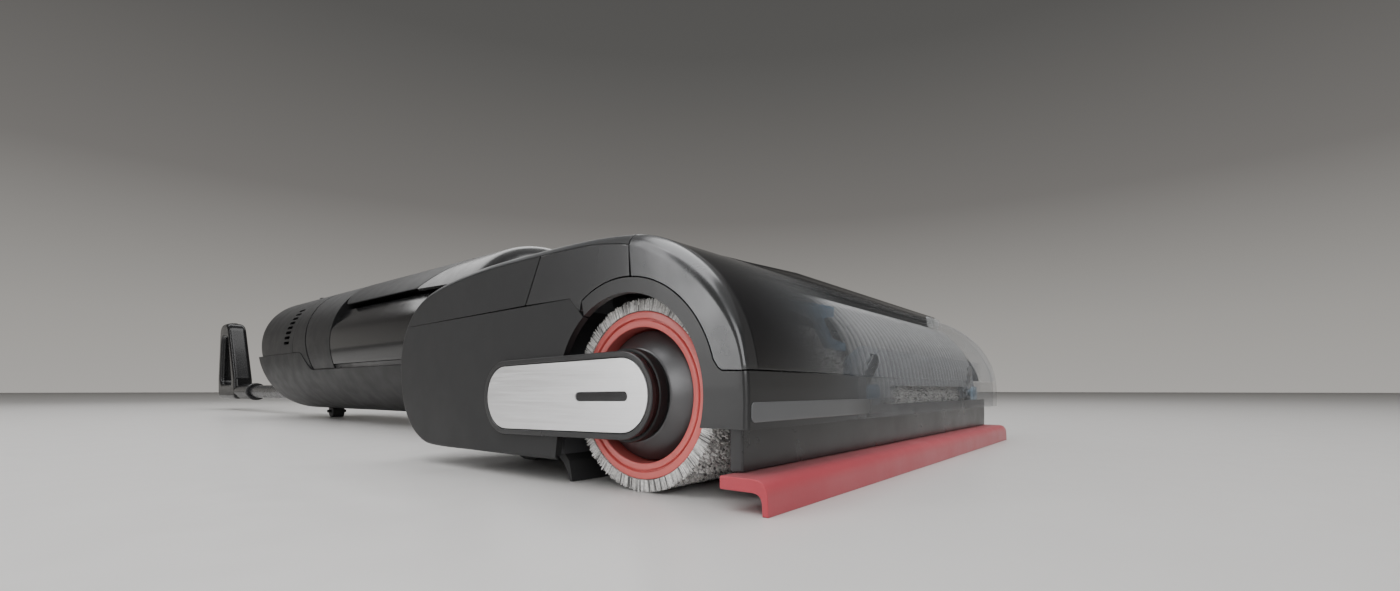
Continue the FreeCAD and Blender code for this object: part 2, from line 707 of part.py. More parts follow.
def clean_water_tank():
    area = before_ring(TANK_REAR + 0.5, -0.5, SHELL_TOP + 0.5)
    room = before_ring(TANK_REAR + 3.0, -3.0, SHELL_TOP + 3.0)
    shell = tank_shell(area, room)
    cap = rod_z(0, 470, 11, BODY_Z + BODY_R - 3.5, BODY_Z + BODY_R + 0.6)
    return join(shell, cap)


def trim_ring():
    area = behind_ring(0, 700).cut(behind_ring(RING_WIDTH, 700))
    return cut(BODY_SKIN.common(area), low_area(-GAP))


def motor_housing():
    area = behind_ring(RING_WIDTH + GAP, CAP_Y)
    shape = cut(BODY_SKIN.common(area), low_area(-GAP))
    wall = CAVITY.common(box(-70, 70, CAP_Y - 2.5, CAP_Y, REAR_SHELL_TOP + 1, 140))
    return cut(join(shape, wall), rod_y(0, 92, 30, 500, 540), release_hole(0.3))


def release_hole(extra):
    return box(-9 - extra, 9 + extra, 520 - extra, 525.6 + extra, 120, 140)


def vent_slots():
    slots = []
    for side in (1, -1):
        for i in range(8):
            a = math.radians(4.0 + 36.0 / 7 * i)
            direction = V(side * math.cos(a), 0, math.sin(a))
            blade = Part.makeBox(30, 17, 2.6, V(0, 0, -1.3))
            placed = blade.copy()
            turn = FreeCAD.Rotation(V(1, 0, 0), direction)
            placed.Placement = FreeCAD.Placement(V(0, 538, BODY_Z) + direction * 45, turn)
            slots.append(placed)
    return Part.makeCompound(slots)


def rear_cap():
    area = box(-70, 70, CAP_Y + GAP, 660, REAR_SHELL_TOP + GAP, 140)
    shape = BODY_SKIN.common(area)
    return cut(shape, vent_slots(), rod_z(0, 596, 14.3, 110, 140))


def display():
    glass = rod_z(0, 596, 14.0, 126.0, BODY_Z + BODY_R + 0.2)
    board = rod_z(0, 596, 12.0, 121.0, 126.5)
    return join(glass, board)


def suction_motor():
    can = rod_y(0, 92, 29.5, 512, 580)
    nose = Part.makeCone(29.5, 14, 16, V(0, 580, 92), V(0, 1, 0))
    return cut(join(can, nose), ring_y(0, 92, 28.0, 31, 545, 549))


def battery_pack():
    return box(-30, 30, 438, 548, 25, 45)


def water_pump():
    can = rod_y(0, 31, 10, 372, 412)
    return join(can, rod_y(0, 31, 6, 412, 422), rod_y(7, 31, 2.2, 350, 374))


def swivel_lug():
    eye = rod_z(0, SWIVEL_Y, 14.0, 26.4, 43.6)
    bar = box(-10, 10, SWIVEL_Y, 206, 26.4, 43.6)
    plate = box(-18, 18, 206, 212, 24.0, 46.0)
    return cut(join(eye, bar, plate), rod_z(0, SWIVEL_Y, 4.06, 10, 60))


def handle_rod():
    return ring_y(0, ROD_Z, ROD_R - 1.5, ROD_R, ROD_START, ROD_END)


def rod_collar():
    return ring_y(0, ROD_Z, ROD_R + 0.1, COLLAR_R, COLLAR_Y - 4, COLLAR_Y + 3.7)


def handle_grip():
    outer = polygon_x(GRIP_OUTER, -GRIP_HALF, GRIP_HALF)
    edges = [e for e in outer.Edges if abs(e.BoundBox.XLength) < 0.01]
    outer = join(outer.makeFillet(5.0, edges), rod_y(0, ROD_Z, GRIP_NECK_R, COLLAR_Y + 4, 960))
    hole = polygon_x(GRIP_HOLE, -20, 20)
    socket = rod_y(0, ROD_Z, ROD_R + 0.1, COLLAR_Y, ROD_END + 0.2)
    shape = cut(outer, hole, socket)
    return cut(shape, button_hole(994, 0.25), button_hole(1008, 0.25))


def button_hole(y, extra):
    return rod_z(0, y, 4.5 + extra, 126.0, 140.0)


def grip_button(y):
    return join(rod_z(0, y, 4.5, 128.4, 131.8))


def tank_release():
    return box(-8.7, 8.7, 520.3, 525.3, 125.0, BODY_Z + BODY_R + 0.9)


def support_roller():
    tread = rod_x(FOOT_Y, FOOT_R, FOOT_R, -FOOT_HALF, FOOT_HALF)
    return join(tread, rod_x(FOOT_Y, FOOT_R, 1.5, -FOOT_HALF - 3.4, FOOT_HALF + 3.4))


# ---- export ----

def main():
    os.makedirs("parts", exist_ok=True)
    save("head_chassis", head_chassis())
    save("head_screws", head_screws())
    save("head_top_cover", head_top_cover())
    save("side_panel_right", side_panel_right())
    save("side_panel_left", side_panel_left())
    save("end_frame_right", end_frame(END_RIGHT, False))
    save("end_frame_left", end_frame(END_LEFT, True))
    save("front_band", front_band())
    save("tag_strip", tag_strip())
    save("visor", visor())
    save("visor_trim", visor_trim())
    save("roller_hood", roller_hood())
    save("rear_suction_lip", rear_suction_lip())
    save("suction_duct", suction_duct())
    save("spray_bar", spray_bar())
    save("roller_motor", roller_motor())
    save("drive_belt", drive_belt())
    save("trunnion_pin", trunnion_pin())
    save("traction_motors", traction_motors())
    save("lift_motor", lift_motor())
    save("roller_core", roller_core())
    save("roller_pile", roller_pile())
    save("roller_ring", roller_ring())
    save("hub_cone", hub_cone())
    save("roller_pulley", roller_pulley())
    save("motor_pulley", motor_pulley())
    save("roller_arm", roller_arm())
    save("arm_plate", arm_plate())
    save("arm_slot_insert", arm_slot_insert())
    save("squeegee_carrier", squeegee_carrier())
    save("squeegee_blade", squeegee_blade())
    save("cam_slider", cam_slider())
    save("wheel_hub_right", wheel_hub())
    save("wheel_tyre_right", wheel_tyre())
    save("wheel_hub_left", mirror_x(wheel_hub()))
    save("wheel_tyre_left", mirror_x(wheel_tyre()))
    save("neck_yoke", neck_yoke())
    save("swivel_pin", swivel_pin())
    save("neck_hose", neck_hose())
    save("swivel_lug", swivel_lug())
    save("lower_shell", lower_shell())
    save("charge_contacts", charge_contacts())
    save("dirty_water_tank", dirty_water_tank())
    save("tank_inlet", tank_inlet())
    save("hump_cover", hump_cover())
    save("clean_water_tank", clean_water_tank())
    save("trim_ring", trim_ring())
    save("motor_housing", motor_housing())
    save("rear_cap", rear_cap())
    save("display", display())
    save("suction_motor", suction_motor())
    save("battery_pack", battery_pack())
    save("water_pump", water_pump())
    save("handle_rod", handle_rod())
    save("rod_collar", rod_collar())
    save("handle_grip", handle_grip())
    save("power_button", grip_button(994))
    save("mode_button", grip_button(1008))
    save("tank_release", tank_release())
    save("support_roller", support_roller())


main()
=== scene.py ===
import bpy
import bmesh
import json
import math
import random
import numpy as np
from mathutils import Vector, Matrix


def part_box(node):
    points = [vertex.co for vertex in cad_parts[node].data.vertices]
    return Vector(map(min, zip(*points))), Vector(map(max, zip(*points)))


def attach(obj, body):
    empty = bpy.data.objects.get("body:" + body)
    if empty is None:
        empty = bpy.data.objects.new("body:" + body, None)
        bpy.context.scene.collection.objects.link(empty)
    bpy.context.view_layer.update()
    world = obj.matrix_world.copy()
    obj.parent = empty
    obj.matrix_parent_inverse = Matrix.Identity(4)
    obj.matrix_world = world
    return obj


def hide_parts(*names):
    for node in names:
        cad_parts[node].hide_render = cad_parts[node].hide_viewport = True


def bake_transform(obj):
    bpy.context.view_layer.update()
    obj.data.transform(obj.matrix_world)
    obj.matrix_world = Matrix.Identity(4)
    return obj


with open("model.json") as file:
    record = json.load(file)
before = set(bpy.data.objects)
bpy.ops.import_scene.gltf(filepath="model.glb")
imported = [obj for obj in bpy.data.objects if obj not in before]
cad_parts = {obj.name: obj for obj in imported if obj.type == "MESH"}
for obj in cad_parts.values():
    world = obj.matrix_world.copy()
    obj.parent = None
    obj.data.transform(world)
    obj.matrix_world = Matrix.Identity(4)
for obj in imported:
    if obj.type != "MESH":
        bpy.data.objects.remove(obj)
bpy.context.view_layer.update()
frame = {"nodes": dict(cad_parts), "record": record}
NODES = frame["nodes"]
MM = 0.001

# Every shape below is written in millimetres, with Y counted backwards from the roller's axis
# and +Z up from the floor. place() turns it into the frame's metres.
PILE_LOW, PILE_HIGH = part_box("roller_pile")
AXIS_Y = (PILE_LOW.y + PILE_HIGH.y) / 2
ROLLER_Z = 28.0


def place(v):
    return (v[0] * MM, AXIS_Y + v[1] * MM, v[2] * MM)


# ---------------------------------------------------------------- materials

def new_material(name):
    material = bpy.data.materials.new(name)
    material.use_nodes = True
    nodes = material.node_tree.nodes
    return material, nodes, material.node_tree.links, nodes["Principled BSDF"]


def object_noise(nodes, links, scale, detail=4.0, stretch=(1, 1, 1)):
    coords = nodes.new("ShaderNodeTexCoord")
    mapping = nodes.new("ShaderNodeMapping")
    mapping.inputs["Scale"].default_value = stretch
    noise = nodes.new("ShaderNodeTexNoise")
    noise.inputs["Scale"].default_value = scale
    noise.inputs["Detail"].default_value = detail
    links.new(coords.outputs["Object"], mapping.inputs["Vector"])
    links.new(mapping.outputs["Vector"], noise.inputs["Vector"])
    return noise


def ramp(nodes, links, source, low, high, at=(0.35, 0.65), curve="LINEAR"):
    node = nodes.new("ShaderNodeMapRange")
    node.interpolation_type = curve
    node.inputs["From Min"].default_value = at[0]
    node.inputs["From Max"].default_value = at[1]
    node.inputs["To Min"].default_value = low
    node.inputs["To Max"].default_value = high
    links.new(source, node.inputs["Value"])
    return node.outputs["Result"]


def tint(nodes, links, source, dark, light):
    mix = nodes.new("ShaderNodeMix")
    mix.data_type = "RGBA"
    mix.inputs["A"].default_value = (*dark, 1)
    mix.inputs["B"].default_value = (*light, 1)
    links.new(source, mix.inputs["Factor"])
    return mix.outputs["Result"]


def bump(nodes, links, bsdf, source, strength, distance):
    node = nodes.new("ShaderNodeBump")
    node.inputs["Strength"].default_value = strength
    node.inputs["Distance"].default_value = distance
    links.new(source, node.inputs["Height"])
    links.new(node.outputs["Normal"], bsdf.inputs["Normal"])


def surface(name, colour, rough, metallic=0.0, coat=0.0, grain=900.0, grain_depth=0.00002,
            vary=0.12, smudge=0.06, stretch=(1, 1, 1), sheen=0.0, shine=0.5):
    """Moulded or finished material: slow colour drift, roughness smudges and fine surface grain."""
    material, nodes, links, bsdf = new_material(name)
    drift = object_noise(nodes, links, 28.0)
    low = [c * (1 - vary) for c in colour]
    high = [min(1.0, c * (1 + vary)) for c in colour]
    links.new(tint(nodes, links, drift.outputs["Fac"], low, high), bsdf.inputs["Base Color"])
    patchy_gloss(nodes, links, bsdf, rough - smudge / 2, rough + smudge, 75.0, 6.0)
    fine = object_noise(nodes, links, grain, 2.0, stretch)
    bump(nodes, links, bsdf, fine.outputs["Fac"], 0.35, grain_depth)
    bsdf.inputs["Metallic"].default_value = metallic
    bsdf.inputs["Coat Weight"].default_value = coat
    bsdf.inputs["Coat Roughness"].default_value = 0.06
    bsdf.inputs["Specular IOR Level"].default_value = shine
    bsdf.inputs["Sheen Weight"].default_value = sheen
    return material


def coordinate(nodes, links, space, axis):
    coords = nodes.new("ShaderNodeTexCoord")
    split = nodes.new("ShaderNodeSeparateXYZ")
    links.new(coords.outputs[space], split.inputs["Vector"])
    return split.outputs[axis]


def calculate(nodes, links, operation, *values, clamp=False):
    """A math node whose inputs are numbers or the outputs of other nodes."""
    node = nodes.new("ShaderNodeMath")
    node.operation = operation
    node.use_clamp = clamp
    for socket, value in zip(node.inputs, values):
        if isinstance(value, float):
            socket.default_value = value
        else:
            links.new(value, socket)
    return node.outputs["Value"]


def patchy_gloss(nodes, links, bsdf, low, high, scale=60.0, detail=5.0):
    patches = object_noise(nodes, links, scale, detail)
    links.new(ramp(nodes, links, patches.outputs["Fac"], low, high), bsdf.inputs["Roughness"])


EDGE_LIFT = 0.16


def ribbed_cover(name, dark, light, rough, alpha, pitch):
    """Translucent ribbed plastic with painted light and shade: each rib is coloured lighter where it stands
    out and darker in the hollow beside it.
    """
    material, nodes, links, bsdf = new_material(name)
    turns = calculate(nodes, links, "MULTIPLY", coordinate(nodes, links, "Object", "X"),
                      2 * math.pi / (pitch * MM))
    wave = calculate(nodes, links, "COSINE", turns)
    # Painted light and shade: the colour follows the ribs, light on their raised tops and dark in the
    # hollows.
    painted_rib_light_shade = ramp(nodes, links, wave, 0.0, 1.0, (-1.0, 1.0))
    links.new(tint(nodes, links, painted_rib_light_shade, dark, light), bsdf.inputs["Base Color"])
    patchy_gloss(nodes, links, bsdf, rough, rough + 0.06)
    bsdf.inputs["Alpha"].default_value = alpha
    bsdf.inputs["Coat Weight"].default_value = 0.2
    return material


def fading_cover(name, dark, light, rough, x_from, x_to, low, high, coat=0.6):
    """A smoked cover: solid at the right end, clearing to the left, brighter where seen edge on."""
    material, nodes, links, bsdf = new_material(name)
    across = coordinate(nodes, links, "Object", "X")
    along = ramp(nodes, links, across, 0.0, 1.0, (x_from * MM, x_to * MM), "SMOOTHSTEP")
    links.new(tint(nodes, links, along, dark, light), bsdf.inputs["Base Color"])
    edge = nodes.new("ShaderNodeLayerWeight")
    edge.inputs["Blend"].default_value = 0.22
    alpha = ramp(nodes, links, along, low, high, (0.0, 1.0))
    lifted = calculate(nodes, links, "MULTIPLY_ADD", edge.outputs["Fresnel"], EDGE_LIFT, alpha, clamp=True)
    links.new(lifted, bsdf.inputs["Alpha"])
    patchy_gloss(nodes, links, bsdf, rough, rough + 0.04)
    bsdf.inputs["Coat Weight"].default_value = coat
    bsdf.inputs["Coat Roughness"].default_value = 0.04
    return material


def brushed(name, colour, rough):
    material, nodes, links, bsdf = new_material(name)
    lines = object_noise(nodes, links, 260.0, 3.0, (1.0, 0.12, 9.0))
    links.new(tint(nodes, links, lines.outputs["Fac"], [c * 0.86 for c in colour], colour),
              bsdf.inputs["Base Color"])
    links.new(ramp(nodes, links, lines.outputs["Fac"], rough - 0.06, rough + 0.08), bsdf.inputs["Roughness"])
    bump(nodes, links, bsdf, lines.outputs["Fac"], 0.18, 0.00002)
    bsdf.inputs["Metallic"].default_value = 0.85
    return material


def pile_material(name):
    """Each tuft has its own tone, from near black to white, with finer flecks inside it."""
    material, nodes, links, bsdf = new_material(name)
    tone = nodes.new("ShaderNodeAttribute")
    tone.attribute_name = "tone"
    fleck = object_noise(nodes, links, 1500.0, 2.0)
    flecks = ramp(nodes, links, fleck.outputs["Fac"], 0.75, 1.1)
    mixed = calculate(nodes, links, "MULTIPLY_ADD", flecks, tone.outputs["Fac"], 0.0, clamp=True)
    links.new(tint(nodes, links, mixed, (0.03, 0.03, 0.032), (0.93, 0.92, 0.90)), bsdf.inputs["Base Color"])
    bump(nodes, links, bsdf, fleck.outputs["Fac"], 0.4, 0.0001)
    bsdf.inputs["Roughness"].default_value = 0.8
    bsdf.inputs["Sheen Weight"].default_value = 0.3
    return material


MAT = {
    "panel": surface("panel_satin", (0.017, 0.0172, 0.018), 0.44, grain=1400.0, shine=0.3),
    "charcoal": surface("charcoal_satin", (0.014, 0.0142, 0.015), 0.40, grain=1400.0, shine=0.3),
    "frame_grey": surface("frame_grey_satin", (0.075, 0.076, 0.078), 0.22, metallic=0.7, coat=0.1,
                          grain=1800.0),
    "top_gloss": surface("top_gloss_grey", (0.018, 0.0185, 0.0195), 0.38, grain=1800.0, grain_depth=0.00001,
                         shine=0.3),
    "upper_side": surface("upper_side_smoke", (0.024, 0.0245, 0.026), 0.24, coat=0.2, grain=1600.0,
                          grain_depth=0.00001, smudge=0.015, vary=0.05),
    "gloss_black": surface("gloss_black", (0.006, 0.006, 0.0065), 0.20, coat=0.12, grain=600.0,
                           grain_depth=0.00001, smudge=0.05, shine=0.25),
    "satin_black": surface("satin_black", (0.014, 0.014, 0.015), 0.30, coat=0.1, grain=1300.0),
    "shell": surface("lower_shell_satin", (0.012, 0.012, 0.0125), 0.40, grain=1300.0, shine=0.25),
    "housing": surface("housing_satin", (0.011, 0.011, 0.0115), 0.38, grain=1300.0, shine=0.28),
    "tank": surface("tank_smoke", (0.006, 0.006, 0.0065), 0.13, coat=0.2, grain=300.0, grain_depth=0.00001,
                    smudge=0.03, shine=0.3),
    "inner": surface("inner_plastic", (0.06, 0.06, 0.064), 0.5, grain=1100.0, grain_depth=0.00004),
    "tag": surface("tag_grey", (0.115, 0.118, 0.122), 0.32, metallic=0.3, grain=1500.0),
    "trim": surface("trim_black", (0.012, 0.012, 0.013), 0.16, coat=0.5, grain=900.0, grain_depth=0.00001),
    "red_plastic": surface("red_plastic", (0.66, 0.135, 0.125), 0.36, coat=0.1, grain=1200.0, vary=0.08),
    "red_rubber": surface("red_rubber", (0.44, 0.042, 0.062), 0.40, grain=1500.0, grain_depth=0.00004,
                          vary=0.08, sheen=0.15),
    "rubber": surface("black_rubber", (0.020, 0.020, 0.021), 0.62, grain=1100.0, grain_depth=0.00006),
    "motor_steel": surface("motor_steel", (0.42, 0.42, 0.44), 0.34, metallic=1.0, grain=500.0,
                           stretch=(1, 0.1, 6), vary=0.05),
    "pin_steel": surface("pin_steel", (0.55, 0.55, 0.57), 0.22, metallic=1.0, grain=700.0, vary=0.04),
    "rod_metal": surface("rod_satin_black", (0.014, 0.014, 0.016), 0.24, metallic=0.3, coat=0.3,
                         grain=1500.0),
    "brass": surface("contact_brass", (0.62, 0.43, 0.16), 0.25, metallic=1.0, grain=800.0, vary=0.06),
    "glass": surface("display_glass", (0.010, 0.010, 0.014), 0.06, coat=1.0, grain=300.0,
                     grain_depth=0.000005),
    "battery": surface("battery_wrap", (0.05, 0.08, 0.13), 0.4, grain=900.0),
    "plate": brushed("brushed_plate", (0.86, 0.86, 0.87), 0.34),
    "pile": pile_material("bristle_pile"),
    "visor": fading_cover("visor_smoke", (0.008, 0.008, 0.009), (0.16, 0.17, 0.18), 0.08, -128, -42, 0.97,
                          0.035, 0.3),
    "band": fading_cover("band_fade", (0.016, 0.0162, 0.017), (0.16, 0.17, 0.18), 0.30, -112, -20, 1.0, 0.11,
                         0.05),
    "end_clear": fading_cover("end_frame_clear", (0.30, 0.32, 0.35), (0.42, 0.45, 0.48), 0.10, 100, 130, 0.2,
                              0.18),
    # The hood's milky grey is split into a darker and a lighter tone: painted shade for the rib hollows and
    # painted light for the raised ribs.
    "hood": ribbed_cover("ribbed_hood", (0.11, 0.115, 0.12), (0.34, 0.345, 0.35), 0.26, 0.95, 5.0),
    "trim_base": surface("trim_base", (0.008, 0.008, 0.0085), 0.42, grain=1500.0, shine=0.05),
    "cone": surface("cone_satin_black", (0.115, 0.115, 0.118), 0.36, metallic=0.85, grain=2600.0,
                    grain_depth=0.00005, vary=0.2),
    "end_face": surface("carrier_end_satin", (0.030, 0.030, 0.032), 0.40, grain=1500.0),
    "hump": surface("hump_gloss", (0.008, 0.008, 0.0085), 0.34, coat=0.0, grain=500.0, grain_depth=0.00001,
                    smudge=0.04, shine=0.10),
    "trim_light": surface("trim_light_line", (0.10, 0.10, 0.105), 0.24, metallic=0.3, grain=1500.0),
    "clear_tab": fading_cover("clear_tab", (0.55, 0.58, 0.60), (0.62, 0.65, 0.67), 0.10, 0, 120, 0.45, 0.35),
    "cam_clear": fading_cover("cam_clear", (0.06, 0.13, 0.22), (0.20, 0.24, 0.30), 0.14, -56, -46, 0.20,
                              0.05),
    "tag_fade": fading_cover("tag_fade", (0.115, 0.118, 0.122), (0.16, 0.165, 0.17), 0.32, -84, -38, 1.0, 0.0,
                             0.0),
    "clear_blue": fading_cover("clear_bracket", (0.07, 0.20, 0.36), (0.30, 0.46, 0.60), 0.08, -120, 120, 0.55,
                               0.5),
}

SLOT_LOOK = {
    "charcoal_plastic": "charcoal", "panel_plastic": "panel", "grey_frame": "frame_grey",
    "gloss_black": "gloss_black", "shell_plastic": "shell", "tank_smoke": "tank", "visor_clear": "visor",
    "hood_clear": "hood", "tag_grey": "tag", "trim_black": "trim", "inner_plastic": "inner",
    "red_plastic": "red_plastic", "red_rubber": "red_rubber", "black_rubber": "rubber", "pile_fabric": "pile",
    "brushed_plate": "plate", "motor_steel": "motor_steel", "pin_steel": "pin_steel",
    "rod_metal": "rod_metal",
    "contact_brass": "brass", "wheel_tyre": "rubber", "board_glass": "glass", "battery_wrap": "battery",
}
NODE_SLOT = {part["node"]: part["material_slot"] for part in frame["record"]["subparts"]}
for node_name, node in NODES.items():
    for slot in node.material_slots:
        slot.material = MAT[SLOT_LOOK[NODE_SLOT[node_name]]]


# ---------------------------------------------------------------- mesh helpers

def settle(piece):
    """Bakes the piece's modifiers into its mesh."""
    bpy.context.view_layer.update()
    graph = bpy.context.evaluated_depsgraph_get()
    mesh = bpy.data.meshes.new_from_object(piece.evaluated_get(graph))
    piece.modifiers.clear()
    piece.data = mesh


def finish_piece(piece, look, body, replaced=(), angle=32.0):
    """Gives a piece its look and body. It stands for the node it is named after, unless others are given."""
    piece.data.materials.clear()
    piece.data.materials.append(MAT[look])
    piece.data.shade_smooth()
    piece.data.set_sharp_from_angle(angle=math.radians(angle))
    even = piece.modifiers.new("normals", "WEIGHTED_NORMAL")
    even.keep_sharp = True
    even.weight = 90
    settle(piece)
    replaced = replaced or (piece.name.split(".")[0],)
    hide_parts(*replaced)
    if body:
        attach(piece, body)
    return piece


def new_object(name, mesh):
    piece = bpy.data.objects.new(name, mesh)
    bpy.context.scene.collection.objects.link(piece)
    return piece


def mesh_from_bmesh(name, bm):
    mesh = bpy.data.meshes.new(name)
    bm.to_mesh(mesh)
    bm.free()
    return mesh


def piece_from_bmesh(name, bm, centre=None):
    """centre, in millimetres, is a point inside: the faces are turned to look away from it."""
    bmesh.ops.remove_doubles(bm, verts=bm.verts, dist=1e-6)
    bmesh.ops.recalc_face_normals(bm, faces=bm.faces)
    if centre is not None:
        bm.normal_update()
        inside = Vector(place(centre))
        outward = sum(f.calc_area() * f.normal.dot((f.calc_center_median() - inside).normalized())
                      for f in bm.faces)
        if outward < 0:
            bmesh.ops.reverse_faces(bm, faces=bm.faces)
    return new_object(name, mesh_from_bmesh(name, bm))


def add_loop(bm, points):
    return [bm.verts.new(place(point)) for point in points]


def bridge(bm, loops, ends=None):
    """Joins closed loops one to the next. ends "flat" closes the first and last, "joined" joins them."""
    pairs = list(zip(loops, loops[1:])) + ([(loops[-1], loops[0])] if ends == "joined" else [])
    for a, b in pairs:
        for i in range(len(a)):
            j = (i + 1) % len(a)
            bm.faces.new((a[i], a[j], b[j], b[i]))
    if ends == "flat":
        bm.faces.new(loops[0])
        bm.faces.new(loops[-1])


def sheet(bm, rows):
    """Joins open rows of points, one to the next."""
    for a, b in zip(rows, rows[1:]):
        for j in range(len(a) - 1):
            bm.faces.new((a[j], a[j + 1], b[j + 1], b[j]))


def turned(name, axis, profile, u, v, look, body, sides=96, ends="joined", angle=32.0):
    """Turns a profile of (distance along the axis, radius) about an axis along X, Y or Z."""
    bm = bmesh.new()
    loops = []
    for along, r in profile:
        loop = []
        for i in range(sides):
            a = 2 * math.pi * i / sides
            point = [u + r * math.cos(a), v + r * math.sin(a)]
            point.insert("XYZ".index(axis), along)
            loop.append(bm.verts.new(place(point)))
        loops.append(loop)
    bridge(bm, loops, ends)
    return finish_piece(piece_from_bmesh(name, bm), look, body, angle=angle)


def thicken(piece, millimetres, bevel=0.18):
    solid = piece.modifiers.new("thickness", "SOLIDIFY")
    solid.thickness = millimetres * MM
    solid.offset = -1.0
    soften(piece, bevel)


def soften(piece, bevel, segments=2):
    if bevel > 0:
        edge = piece.modifiers.new("edges", "BEVEL")
        edge.width = bevel * MM
        edge.segments = segments
        edge.limit_method = "ANGLE"
        edge.angle_limit = math.radians(38)
    settle(piece)


def arc(cy, cz, r, start, end, steps=24):
    """Points on an arc, angles in degrees from +Y towards +Z."""
    points = []
    for i in range(steps + 1):
        a = math.radians(start + (end - start) * i / steps)
        points.append((cy + r * math.cos(a), cz + r * math.sin(a)))
    return points


def rounded(points, r, steps=6):
    """A closed outline with each corner replaced by an arc; r is one radius or one for each corner."""
    radii = r if hasattr(r, "__len__") else [r] * len(points)
    result = []
    count = len(points)
    for i in range(count):
        p = Vector(points[i])
        a = Vector(points[i - 1]) - p
        b = Vector(points[(i + 1) % count]) - p
        half = a.angle(b) / 2
        cut = min(radii[i] / math.tan(half), a.length * 0.49, b.length * 0.49)
        start = p + a.normalized() * cut
        end = p + b.normalized() * cut
        for k in range(steps + 1):
            t = k / steps
            q = start * (1 - t) ** 2 + p * 2 * t * (1 - t) + end * t ** 2
            result.append((q.x, q.y))
    return result


def slab_x(name, loops, x0, x1, bevel, look, body, segments=3):
    """A plate with that outline in Y and Z, and any holes after it, run along X with soft edges."""
    curve = bpy.data.curves.new(name, "CURVE")
    curve.dimensions = "2D"
    curve.fill_mode = "BOTH"
    for loop in loops:
        spline = curve.splines.new("POLY")
        spline.points.add(len(loop) - 1)
        for point, (y, z) in zip(spline.points, loop):
            point.co = (y * MM, z * MM, 0, 1)
        spline.use_cyclic_u = True
    curve.extrude = ((x1 - x0) / 2 - bevel) * MM
    curve.bevel_depth = bevel * MM
    curve.bevel_resolution = segments
    curve.offset = -bevel * MM
    shape = new_object(name + "_outline", curve)
    bpy.context.view_layer.update()
    mesh = bpy.data.meshes.new_from_object(shape.evaluated_get(bpy.context.evaluated_depsgraph_get()))
    bpy.data.objects.remove(shape)
    turn = Matrix(((0, 0, 1, (x0 + x1) / 2 * MM), (1, 0, 0, AXIS_Y), (0, 1, 0, 0), (0, 0, 0, 1)))
    mesh.transform(turn)
    bm = bmesh.new()
    bm.from_mesh(mesh)
    bmesh.ops.remove_doubles(bm, verts=bm.verts, dist=1e-6)
    bmesh.ops.recalc_face_normals(bm, faces=bm.faces)
    bm.to_mesh(mesh)
    bm.free()
    mesh.name = name
    return finish_piece(new_object(name, mesh), look, body)


# ---------------------------------------------------------------- the head's outer skin

HALF = 134.5
EDGE_FRONT = 1.4
EDGE_TOP = 5.0
EDGE_REAR = 2.4
EDGE_LOW = 1.3
SEAM_Z = 57.3
HALF_SEAM = 0.05
BAND_LOW = 20.0
BAND_TOP = 34.1
VISOR_LOW = 34.5
ARCH_R = 28.7
LIP_R = 32.9
TOP_ARCH_R = 33.3
HEAD_LINE = [(-42.0, 20.0), (-42.0, 24.0), (-42.0, 28.0), (-41.9, 31.0), (-41.4, 36.0), (-39.4, 44.0),
             (-35.0, 52.7), (-29.0, 60.0), (-20.0, 67.0), (-10.0, 71.8), (0.0, 73.6), (19.0, 74.4),
             (44.0, 74.4), (69.0, 73.8), (92.0, 71.8), (110.0, 68.6), (122.0, 63.9), (131.0, 56.0),
             (136.0, 46.0), (136.8, 36.0), (134.0, 24.0), (127.0, 14.6), (117.0, 9.0), (106.0, 7.6),
             (80.0, 7.5), (55.0, 7.5), (30.0, 7.5)]


def smooth_line(points, per_span=10):
    """Catmull-Rom curve through the points."""
    p = [np.array(q, float) for q in points]
    p = [2 * p[0] - p[1]] + p + [2 * p[-1] - p[-2]]
    result = []
    for i in range(1, len(p) - 2):
        for k in range(per_span):
            t = k / per_span
            result.append(0.5 * (2 * p[i] + (p[i + 1] - p[i - 1]) * t
                                 + (2 * p[i - 1] - 5 * p[i] + 4 * p[i + 1] - p[i + 2]) * t * t
                                 + (3 * p[i] - p[i - 1] - 3 * p[i + 1] + p[i + 2]) * t ** 3))
    result.append(p[-2])
    return np.array(result)


def outward(line):
    """The unit normals of a line of points, to its left."""
    turn = np.gradient(line, axis=0)
    turn /= np.linalg.norm(turn, axis=1)[:, None]
    return np.stack([-turn[:, 1], turn[:, 0]], axis=1)


SKIN = smooth_line(HEAD_LINE)
SKIN_OUT = outward(SKIN)
TOP_INDEX = int(np.argmax(SKIN[:, 1]))


def skin_at(y=None, z=None, back=False):
    """Position along the skin, as a fractional index, where it crosses y or z; back means the rear half."""
    column = 0 if y is not None else 1
    wanted = y if y is not None else z
    span = range(TOP_INDEX, len(SKIN) - 1) if back else range(0, TOP_INDEX + 20)
    for i in span:
        a, b = SKIN[i][column], SKIN[i + 1][column]
        if (a - wanted) * (b - wanted) <= 0 and a != b:
            return i + (wanted - a) / (b - a)
    return float(len(SKIN) - 1) if back else 0.0


def skin_point(t):
    i = min(int(t), len(SKIN) - 2)
    k = t - i
    p = SKIN[i] * (1 - k) + SKIN[i + 1] * k
    n = SKIN_OUT[i] * (1 - k) + SKIN_OUT[i + 1] * k
    return p, n / np.linalg.norm(n)


def edge_radius(t):
    p = skin_point(t)[0]
    if t < TOP_INDEX:
        k = min(1.0, max(0.0, (p[1] - 36.0) / 34.0))
        top = EDGE_REAR + (EDGE_TOP - EDGE_REAR) * min(1.0, max(0.0, (12.0 - p[0]) / 26.0))
        return EDGE_FRONT + (top - EDGE_FRONT) * k * k * (3 - 2 * k)
    return EDGE_LOW + (EDGE_REAR - EDGE_LOW) * min(1.0, max(0.0, (p[1] - 7.5) / 22.0))


